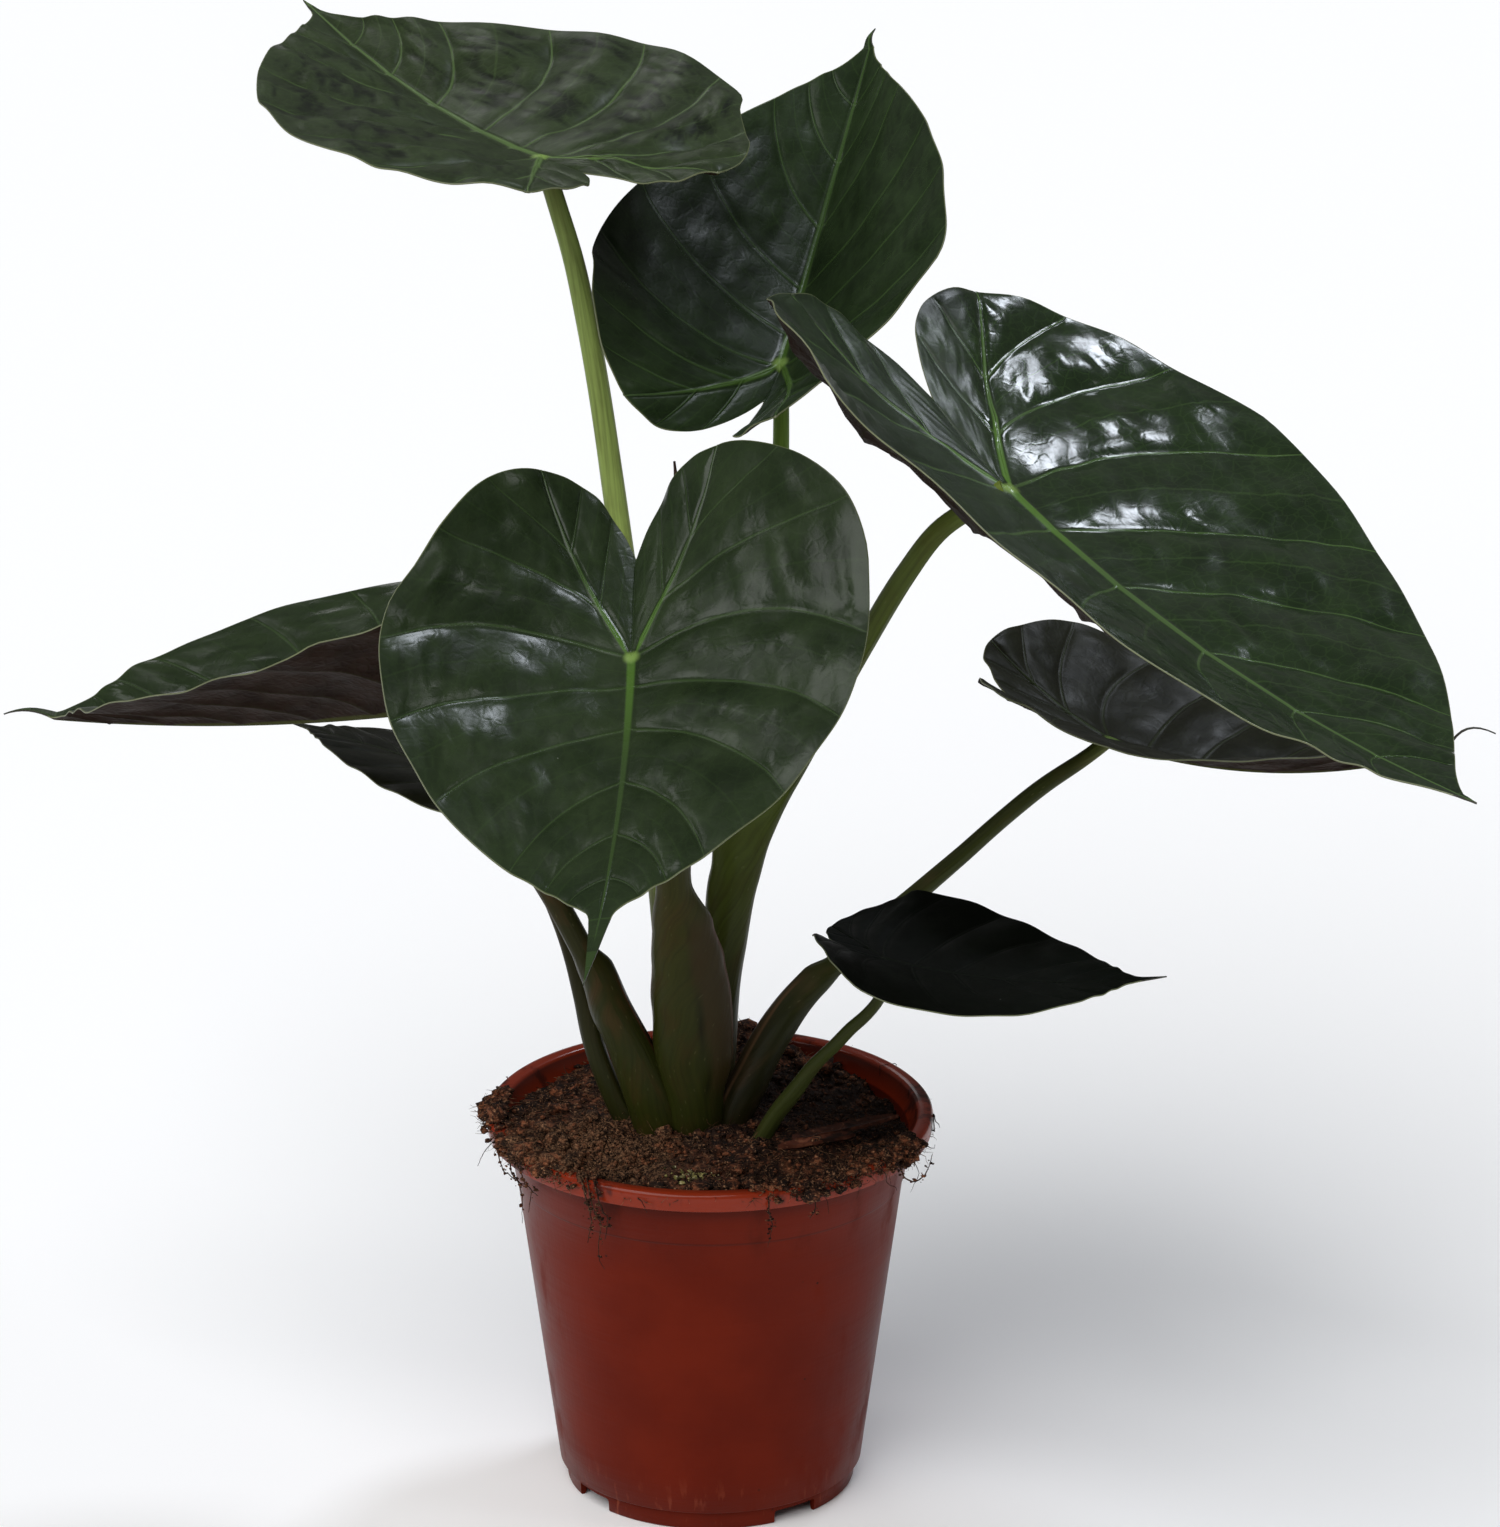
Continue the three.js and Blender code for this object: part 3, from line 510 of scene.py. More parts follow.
@dataclass(frozen=True)
class BladeFinish:
    """The glossy upper face of a blade.

    The mesh stores, at each vertex, the distance to the nearest side vein, to the thin vein between two of them
    and to the main ribs as shares of their half widths (vein, thin_vein, rib), the distances to the margin and
    to the stalk in millimetres (edge, hub), and how deep it lies in a wrinkle, up to 1 (hollow), where painted
    shade darkens it.

    Attributes:
        deep, fresh: The darker and the lighter green.
        vein, rib: The side veins, and the main ribs near the stalk.
        margin, hub: The line along the edge, and the place over the stalk.
        roughness, gloss: How rough it is, and how strongly it mirrors.
        hollow_shade: How dark the hollows of its wrinkles are.
        hollow, dust: The tints of the painted shade in those hollows and of the dust.
        dull_right: How much rougher it is to the right of the left lobe's rib.
    """

    name: str
    deep: Tint
    fresh: Tint
    vein: Tint
    rib: Tint
    margin: Tint = (86, 94, 62)
    hub: Tint = (122, 150, 76)
    roughness: float = 0.24
    gloss: float = 0.42
    hollow_shade: float = 0.3
    dull_right: float = 0.0
    # The tint of the painted shade in the wrinkles' hollows.
    hollow: Tint = (12, 18, 9)
    dust: Tint = (205, 210, 200)

    def build(self) -> bpy.types.Material:
        """Makes the material.

        Returns:
            The material.
        """
        r = Recipe(self.name)
        flat = r.uv("flat")
        net = r.cells(flat, 190.0, "DISTANCE_TO_EDGE")
        colour = r.over(
            r.mix(r.remap(r.noise(flat, 38.0), 0.3, 0.72), self.deep, self.fresh),
            (r.noise(flat, 420.0), 0.35, 0.75, 0.22, self.deep),
            # Painted shade in the hollows of the wrinkles.
            ("hollow", 0.0, 1.0, self.hollow_shade, self.hollow),
            (net, 0.08, 0.0, 0.1, self.vein),
            ("thin_vein", 1.0, 0.2, 0.18, self.vein),
            ("vein", 1.3, 0.35, 0.65, self.vein),
            ("rib", 1.1, 0.5, 0.9, r.mix(r.remap(r.attribute("hub"), 12.0, 80.0), self.rib, self.vein)),
            ("hub", 5.5, 2.0, 0.8, self.hub),
            ("edge", 0.5, 0.2, 1.0, self.margin),
        )
        dust = r.remap(r.cells(flat, 80.0), 0.03, 0.015, 0.0, 0.7)
        dusty = r.remap(r.noise(flat, 17.0, 2.0), 0.56, 0.6)
        wrinkles = r.noise(r.stretched(r.uv("along_veins"), (1.0, 0.5, 1.0)), 130.0, 2.0, 0.5)
        skin = r.noise(flat, 1100.0, 2.0)
        rough = r.remap(r.noise(flat, 60.0, 2.0), 0.3, 0.7, self.roughness - 0.04, self.roughness + 0.08)
        off_rib = r.maths("ADD", r.part(flat, "X"), r.times(r.part(flat, "Y"), 2.2))
        return r.finish(
            Base_Color=r.mix(r.times(dust, dusty), colour, self.dust),
            Roughness=r.maths("ADD", rough, r.remap(off_rib, 0.0, -0.02, 0.0, self.dull_right)),
            Normal=r.relief(
                (wrinkles, 0.0004, 0.4), (r.remap(net, 0.0, 0.2), 0.00006, 0.4), (skin, 0.00003, 0.5),
            ),
            Specular_IOR_Level=self.gloss,
        )


@dataclass(frozen=True)
class UndersideFinish:
    """The satin purple-brown underside of a blade, with its darker veins."""

    name: str
    deep: Tint = (27, 17, 12)
    light: Tint = (40, 27, 20)
    vein: Tint = (36, 32, 18)
    rib: Tint = (60, 62, 32)

    def build(self) -> bpy.types.Material:
        """Makes the material.

        Returns:
            The material.
        """
        r = Recipe(self.name)
        flat = r.uv("flat")
        net = r.cells(flat, 230.0, "DISTANCE_TO_EDGE")
        colour = r.over(
            r.mix(r.remap(r.noise(flat, 45.0, 4.0), 0.3, 0.7), self.deep, self.light),
            (net, 0.12, 0.0, 0.3, self.vein),
            ("vein", 1.6, 0.6, 0.7, self.vein),
            ("rib", 1.3, 0.7, 1.0, self.rib),
        )
        relief = r.relief((r.remap(net, 0.3, 0.0), 0.0003, 0.6), (r.noise(flat, 700.0, 2.0), 0.00008, 0.5))
        rough = r.remap(r.noise(flat, 80.0, 2.0), 0.3, 0.7, 0.6, 0.74)
        return r.finish(Base_Color=colour, Roughness=rough, Normal=relief, Specular_IOR_Level=0.04)


@dataclass(frozen=True)
class MarginFinish:
    """The thin pale line of a blade's edge, which is dark on the drip tip."""

    name: str
    tint: Tint = (116, 122, 88)
    shade: Tint = (84, 88, 58)
    drip: Tint = (40, 38, 24)

    def build(self) -> bpy.types.Material:
        """Makes the material.

        Returns:
            The material.
        """
        r = Recipe(self.name)
        flat = r.uv("flat")
        colour = r.mix(r.noise(flat, 60.0, 2.0), self.tint, self.shade)
        colour = r.over(colour, ("edge", 0.6, 2.2, 1.0, self.drip))
        relief = r.relief((r.noise(flat, 500.0), 0.0001, 0.5))
        return r.finish(Base_Color=colour, Roughness=0.45, Normal=relief)


@dataclass(frozen=True)
class StalkFinish:
    """A smooth stalk that changes colour from its foot to the blade.

    The mesh stores its share of the length (along), the closeness to a sheath's free edge (lip) and to the fold
    beside it (crease), which is darkened as painted shade, what lies between the two (wing) and, in a UV map,
    the place round and along it in metres.
    """

    name: str
    foot: Tint
    middle: Tint
    top: Tint
    lip: Tint = (62, 34, 20)
    wing: Tint = (58, 44, 26)
    streak: Tint = (20, 18, 9)
    # The tint of the painted shade along the sheath's fold.
    crease: Tint = (20, 17, 9)
    fleck: Tint = (130, 130, 90)

    def build(self) -> bpy.types.Material:
        """Makes the material.

        Returns:
            The material.
        """
        r = Recipe(self.name)
        skin = r.uv("skin")
        streaks = r.noise(r.stretched(skin, (1.0, 0.035, 1.0)), 700.0)
        clouds = r.noise(r.stretched(skin, (1.0, 0.4, 1.0)), 90.0)
        flecks = r.cells(r.stretched(skin, (1.0, 0.3, 1.0)), 420.0)
        colour = r.over(
            self.foot,
            ("along", 0.12, 0.5, 1.0, self.middle),
            ("along", 0.9, 0.99, 1.0, self.top),
            (streaks, 0.35, 0.75, 0.4, r.mix(0.7, self.foot, self.streak)),
            (clouds, 0.45, 0.75, 0.25, self.lip),
        )
        colour = r.mix(r.times(r.attribute("wing"), 0.7), colour, self.wing)
        # Painted shade: a dark line along the sheath's fold.
        colour = r.mix(r.times(r.attribute("crease"), 0.7), colour, self.crease)
        colour = r.over(colour, ("lip", 0.25, 0.95, 0.85, self.lip), (flecks, 0.14, 0.07, 0.12, self.fleck))
        relief = r.relief((streaks, 0.0005, 0.5), (r.noise(skin, 900.0, 2.0), 0.00006, 0.5))
        rough = r.remap(clouds, 0.3, 0.7, 0.34, 0.5)
        return r.finish(Base_Color=colour, Roughness=rough, Normal=relief, Specular_IOR_Level=0.1)


@dataclass(frozen=True)
class PotFinish:
    """Terracotta-coloured plastic, soiled under the rim and scuffed at the foot, with heights in metres. Its
    rim is painted lighter as painted light, with painted shadow under the rim's flange and painted shade
    inside.
    """

    name: str = "pot_plastic"
    deep: Tint = (92, 23, 7)
    light: Tint = (103, 28, 9)
    pale: Tint = (150, 74, 50)
    dirt: Tint = (34, 19, 13)
    # The rim's lighter tint is painted light.
    rim: Tint = (140, 45, 19)
    # The tint of the painted shadow under the flange and of the painted shade inside.
    shade: Tint = (62, 24, 17)
    scuffed_to: float = 0.03
    soiled_from: float = 0.118
    soiled_to: float = 0.166
    ring_at: float = 0.1402
    # Heights of the painted shadow under the rim's flange.
    shade_from: float = 0.149
    shade_full: float = 0.1585
    shade_ends: float = 0.159
    rim_from: float = 0.1592

    def build(self) -> bpy.types.Material:
        """Makes the material.

        Returns:
            The material.
        """
        r = Recipe(self.name)
        here = r.here()
        height = r.part(here, "Z")
        clouds = r.noise(here, 22.0, 4.0)
        bands = r.noise(r.stretched(here, (1.0, 1.0, 22.0)), 14.0)
        scuffs = r.remap(r.noise(r.stretched(here, (1.0, 1.0, 0.25)), 260.0), 0.58, 0.72, 0.0, 0.6)
        smears = r.remap(r.noise(r.stretched(here, (1.0, 1.0, 0.45)), 46.0, 5.0, 0.62), 0.52, 0.74)
        soiled = r.times(r.remap(height, self.soiled_from, self.soiled_to), 0.75)
        specks = r.remap(r.cells(here, 120.0), 0.09, 0.05, 0.0, 0.85)
        specked = r.remap(r.noise(here, 30.0, 2.0), 0.56, 0.62)
        on_rim = r.remap(height, self.rim_from, self.rim_from + 0.0008, 0.0, 0.75)
        under_rim = r.remap(height, self.shade_from, self.shade_full, 0.0, 0.55)
        below_flange = r.remap(height, self.shade_ends + 0.0004, self.shade_ends)
        off_ring = r.maths("ABSOLUTE", r.maths("SUBTRACT", height, self.ring_at))
        colour = r.mix(r.remap(clouds, 0.3, 0.7), self.deep, self.light)
        colour = r.over(colour, (bands, 0.45, 0.75, 0.18, self.deep))
        for share, tint in (
            (r.times(scuffs, r.remap(height, self.scuffed_to, 0.0)), self.pale),
            (r.times(smears, soiled), self.dirt),
            (r.times(specks, specked), self.dirt),
            # Painted light: the rim's flange is a lighter orange where no smear lies on it.
            (r.times(on_rim, r.remap(smears, 0.6, 0.1)), self.rim),
            # Painted shadow: a darker band just under the rim's flange.
            (r.times(under_rim, below_flange), self.shade),
            # Painted shade on the pot's inside.
            (r.times(r.attribute("inside"), 0.75), self.shade),
            # A thin darker line along the step under the rim.
            (r.remap(off_ring, 0.0009, 0.0002, 0.0, 0.35), self.dirt),
        ):
            colour = r.mix(share, colour, tint)
        scratches = r.noise(r.stretched(here, (1.0, 1.0, 0.06)), 500.0, 2.0)
        grain = r.noise(here, 900.0, 2.0)
        return r.finish(
            Base_Color=colour,
            Roughness=r.maths("ADD", r.remap(clouds, 0.3, 0.7, 0.3, 0.42), r.times(smears, 0.25)),
            Normal=r.relief((bands, 0.0006, 0.25), (scratches, 0.00012, 0.35), (grain, 0.00005, 0.5)),
            Coat_Weight=r.times(on_rim, 0.45),
            Coat_Roughness=0.14,
            Specular_IOR_Level=0.07,
        )


@dataclass(frozen=True)
class SoilFinish:
    """Peat, root or bark: a rough, fibrous brown with a sandy place and painted shade on the right, in metres.
    """

    name: str
    deep: Tint
    light: Tint
    fleck: Tint
    grain_per_metre: float = 260.0
    relief_metres: float = 0.0012
    sand: Tint = (150, 112, 82)
    sand_place: Place = (-0.045, -0.043, 0.168)
    sand_radius: float = 0.042
    # A dark tint for the random dark pockets and for the painted shade on the right, then that shade's middle
    # and radius.
    dark_and_shade: Tint = (20, 12, 8)
    shade_place: Place = (0.05, 0.012, 0.16)
    shade_radius: float = 0.06

    def build(self) -> bpy.types.Material:
        """Makes the material.

        Returns:
            The material.
        """
        r = Recipe(self.name)
        here, grains, depth = r.here(), self.grain_per_metre, self.relief_metres
        clouds = r.noise(here, 0.25 * grains, 4.0, 0.65)
        pockets = r.noise(here, 0.55 * grains, 2.0, 0.7)
        lumps = r.noise(here, 0.9 * grains, 3.0, 0.6)
        grain = r.noise(here, 3.0 * grains, 4.0, 0.7)
        strands = r.noise(r.stretched(here, (1.0, 0.3, 1.6)), 2.2 * grains)
        crossing = r.noise(r.stretched(here, (0.3, 1.2, 1.6)), 2.4 * grains)
        ragged = r.times(r.maths("SUBTRACT", clouds, 0.5), 0.07)
        sandy, dark_and_shade = (
            r.maths("ADD", r.distance(here, PLANT_ORIGIN + middle), ragged)
            for middle in (self.sand_place, self.shade_place)
        )
        sandy = r.remap(sandy, 1.15 * self.sand_radius, 0.4 * self.sand_radius)
        colour = r.mix(r.remap(clouds, 0.4, 0.64), self.deep, self.light)
        colour = r.over(colour, (lumps, 0.56, 0.42, 0.85, self.deep))
        colour = r.mix(r.times(sandy, r.remap(grain, 0.44, 0.62, 0.0, 0.85)), colour, self.sand)
        colour = r.over(
            colour,
            (grain, 0.47, 0.37, 0.75, self.deep),
            (pockets, 0.5, 0.4, 0.8, self.dark_and_shade),
            (strands, 0.58, 0.72, 0.75, self.fleck),
            (crossing, 0.6, 0.72, 0.6, self.fleck),
            # Painted shade: the soil and all on it darkens towards a place on the right.
            (dark_and_shade, 1.1 * self.shade_radius, 0.5 * self.shade_radius, 0.72, self.dark_and_shade),
        )
        relief = r.relief((lumps, depth, 0.8), (strands, 0.5 * depth, 0.9), (grain, 0.4 * depth, 0.8))
        rough = r.remap(grain, 0.3, 0.7, 0.78, 0.98)
        return r.finish(Base_Color=colour, Roughness=rough, Normal=relief, Specular_IOR_Level=0.15)


@dataclass(frozen=True)
class FloorFinish:
    """A plain pale studio floor."""

    name: str = "studio_floor"
    tint: Tint = (255, 255, 255)

    def build(self) -> bpy.types.Material:
        """Makes the material."""
        return Recipe(self.name).finish(Base_Color=self.tint, Roughness=0.9, Specular_IOR_Level=0.1)


# Blades


# The outline's points ahead of the stalk and behind it, as shares of the length or the lobe and of the width
TIP_SIDE = np.array([
    (0.955, 0.085), (0.9, 0.185), (0.82, 0.33), (0.7, 0.52),
    (0.55, 0.7), (0.38, 0.85), (0.2, 0.955), (0.0, 1.0),
])
LOBE_SIDE = np.array([
    (-0.25, 0.985), (-0.5, 0.925), (-0.72, 0.8), (-0.9, 0.61), (-0.99, 0.42), (-0.985, 0.26), (-0.9, 0.15),
])
# The outline's knot at which a lobe's rib ends, the length in millimetres of a leaf with full relief, the
# half widths off a vein that count as far, and the steps from one vein's patch of the wrinkles' map to the next
LOBE_RIB_KNOT = 14.9
FULL_LENGTH = 180.0
FAR = 6.0
PATCHES_APART = (37.0, 71.0)


@dataclass(frozen=True)
class Vein:
    """A line from the midrib, or from a lobe's rib, to the margin.

    Attributes:
        knot: The knot of the outline where it ends.
        start: Its start along the midrib as a share of the length. Past 1 it is in the drip tip.
        rib: Its start along the lobe's rib, as a share of the way to the margin.
        width: Half its width at the start, in millimetres.
        swell: How strongly the blade swells up between it and the next vein.
        bow: How far it bows back towards the lobe, as a share of the half blade's width.
    """

    knot: float
    start: float
    rib: float
    width: float
    swell: float
    bow: float = 0.0


DRIP = (Vein(0.0, 2.0, 0.0, 0.1, 0.0), Vein(1.0, 1.5, 0.0, 0.1, 0.0), Vein(2.0, 1.0, 0.0, 0.2, 0.25))
SIDE_VEINS = (
    Vein(3.6, 0.84, 0.0, 0.4, 0.5),
    Vein(4.35, 0.67, 0.0, 0.55, 0.8),
    Vein(5.2, 0.47, 0.0, 0.75, 1.0),
    Vein(6.7, 0.27, 0.0, 0.9, 1.0),
    Vein(8.05, 0.11, 0.0, 1.0, 1.0, 0.02),
    Vein(9.45, 0.0, 0.0, 1.1, 1.0, 0.17),
)
LOBE_VEINS = (
    Vein(11.85, 0.0, 0.30, 0.9, 0.8, 0.09),
    Vein(13.5, 0.0, 0.6, 0.7, 0.5, 0.03),
    Vein(14.9, 0.0, 0.93, 0.6, 0.35),
    Vein(16.1, 0.0, 0.6, 0.4, 0.5),
    Vein(17.4, 0.0, 0.3, 0.4, 0.45),
    Vein(19.0, 0.0, 0.0, 0.05, 0.0),
)


# Shares of the way from one vein to the next, close together beside each and alike from both sides
NEAR_VEIN = np.array([0.0, 0.014, 0.034, 0.066, 0.115, 0.18, 0.27, 0.38])
BETWEEN_VEINS = np.concatenate([NEAR_VEIN, [0.5], 1 - NEAR_VEIN[::-1]])

# Shares of the way from the midrib to the margin, close together at both ends
ACROSS = np.concatenate([
    [0.0, 0.006, 0.014, 0.024, 0.038, 0.056, 0.08], np.linspace(0.105, 0.965, 32), [0.983, 0.994, 1.0],
])


@dataclass(frozen=True)
class HalfBlade:
    """One half of a blade, in millimetres and degrees.

    Attributes:
        width: From the midrib to the widest place.
        lobe: From the stalk back to the lobe's end.
        full, lobe_full: How much fuller than usual its tip side and its lobe are.
        fold, curl: How far it is raised from flat, and how far it bows down towards the margin.
    """

    width: float
    lobe: float
    full: float
    lobe_full: float
    fold: float
    curl: float


@dataclass(frozen=True)
class BladeShape:
    """A blade's form and place, in millimetres and degrees.

    Attributes:
        attach: Where the stalk meets it.
        heading, pitch, roll: The way its tip points, anticlockwise from +X, and how far the tip and the
            left half are raised.
        length, drip, neck: From the stalk to the drip tip, that tip's length, and half its width there.
        notch: From the stalk back to the cleft.
        arch, arch_back: How far the front bends up and the back down.
        sway, sway_back: How far the tip and the back bend sideways.
        twist: How far it is twisted.
        fold_tip, fold_back: More fold towards the tip and towards the lobes.
        swell, wave: How far it rises between two veins, and how far its margin waves.
        left, right: Its halves.
        seed: Picks its small irregularities.
        crown, wrinkle, dent: What its swellings, wrinkles and dents are multiplied by.
        drip_bow: How far the drip tip's middle lies to the left of its ends and above them.
    """

    attach: Place
    heading: float
    pitch: float
    roll: float
    length: float
    drip: float
    neck: float
    notch: float
    arch: float
    arch_back: float
    sway: float
    sway_back: float
    twist: float
    fold_tip: float
    fold_back: float
    swell: float
    wave: float
    left: HalfBlade
    right: HalfBlade
    seed: int
    crown: float = 0.8
    wrinkle: float = 1.0
    dent: float = 1.0
    drip_bow: tuple[float, float] = (0.0, 0.0)

    def half(self, side: int) -> HalfBlade:
        """The left half for side 1, the right one for -1."""
        return self.left if side > 0 else self.right

    def outline(self, side: int, knots: Array) -> Array:
        """Places on one half's outline, on the flat blade.

        Args:
            side: 1 for left, -1 for right.
            knots: Where on the outline, from 0 at the tip to 19 at the cleft.

        Returns:
            Rows of the distance ahead of the stalk and out from the midrib.
        """
        half = self.half(side)
        ahead = TIP_SIDE * (self.length, half.width)
        ahead[:, 1] *= 1 + half.full * np.sin(np.pi * TIP_SIDE[:, 0])
        behind = LOBE_SIDE * (half.lobe, half.width)
        behind[:, 1] *= 1 + half.lobe_full * np.sin(-np.pi * LOBE_SIDE[:, 0])
        points = np.vstack([
            [(self.length + self.drip, 0), (self.length + 0.5 * self.drip, 0.45 * self.neck)],
            [(self.length, self.neck)],
            ahead,
            behind,
            [(-0.5 * (0.9 * half.lobe + self.notch), 0.055 * half.width), (-self.notch, 0)],
        ])
        index = np.minimum(knots.astype(int), len(points) - 2)
        p0, p1, p2, p3 = (points[np.clip(index + k, 0, len(points) - 1)] for k in (-1, 0, 1, 2))
        return hermite(p1, p2, (p2 - p0) / 2, (p3 - p1) / 2, (knots - index)[:, None])

    def lobe_rib(self, side: int) -> Array:
        """Where the rib of one half's lobe ends on the flat blade."""
        return self.outline(side, np.array([LOBE_RIB_KNOT]))[0]

    def bent(self, side: int, x: Array, y: Array) -> Array:
        """Bends places on the flat blade into its form.

        Args:
            side: 1 for the left half, -1 for the right.
            x: Distances ahead of the stalk.
            y: Distances out from the midrib.

        Returns:
            Places in the leaf's own frame: ahead, left and up.
        """
        half = self.half(side)
        back = 0.5 * (self.left.lobe + self.right.lobe)
        share = np.where(x > 0, x / self.length, x / back)
        rate = np.where(x > 0, math.radians(self.arch) / self.length, -math.radians(self.arch_back) / back)
        rate = np.where(np.abs(rate) < 1e-7, 1e-7, rate)
        turn = rate * x
        along, down = np.sin(turn) / rate, -(1 - np.cos(turn)) / rate
        sway = np.where(x > 0, math.radians(self.sway) / self.length, math.radians(self.sway_back) / back)
        sideways = 0.5 * sway * x * np.abs(x)
        tip_fold = self.fold_tip * np.clip(share, 0, 1)
        fold = np.radians(half.fold + tip_fold + self.fold_back * np.clip(-share, 0, 1))
        curl = math.radians(half.curl) / half.width
        curl = curl if abs(curl) > 1e-7 else 1e-7
        across = side * (np.sin(fold) - np.sin(fold - curl * y)) / curl
        raised = -(np.cos(fold) - np.cos(fold - curl * y)) / curl
        twist = np.radians(self.twist) * share
        in_drip = np.clip((x - self.length) / self.drip, 0, 1)
        bow = 4 * in_drip * (1 - in_drip)
        lateral = across * np.cos(twist) - raised * np.sin(twist) + bow * self.drip_bow[0]
        height = across * np.sin(twist) + raised * np.cos(twist) + bow * self.drip_bow[1]
        ahead, up = along + height * np.sin(turn), down + height * np.cos(turn)
        return np.stack([ahead, sideways + lateral, up], -1)

    def facing(self, side: int, x: Array, y: Array) -> Array:
        """Directions in which the bent blade's upper face looks.

        Args:
            side: 1 for the left half, -1 for the right.
            x: Distances ahead of the stalk.
            y: Distances out from the midrib.

        Returns:
            Unit vectors in the leaf's own frame. The two halves agree on the midrib.
        """
        both = []
        for one in (side, -side):
            ahead = self.bent(one, x + 0.5, y) - self.bent(one, x - 0.5, y)
            out = self.bent(one, x, y + 0.5) - self.bent(one, x, y)
            both.append(unit(np.cross(ahead, out) * one))
        own = 0.5 * smoothstep(0.0, 9.0, y)[..., None]
        return unit(both[0] * (0.5 + own) + both[1] * (0.5 - own))

    def axes(self) -> Array:
        """The leaf's ahead, left and up directions in the plant's frame.

        Returns:
            One direction to a row.
        """
        h, p, r = (math.radians(a) for a in (self.heading, self.pitch, self.roll))
        ahead = np.array([math.cos(h) * math.cos(p), math.sin(h) * math.cos(p), math.sin(p)])
        level = np.array([-math.sin(h), math.cos(h), 0.0])
        up = np.cross(ahead, level)
        left = level * math.cos(r) + up * math.sin(r)
        return np.stack([ahead, left, up * math.cos(r) - level * math.sin(r)])


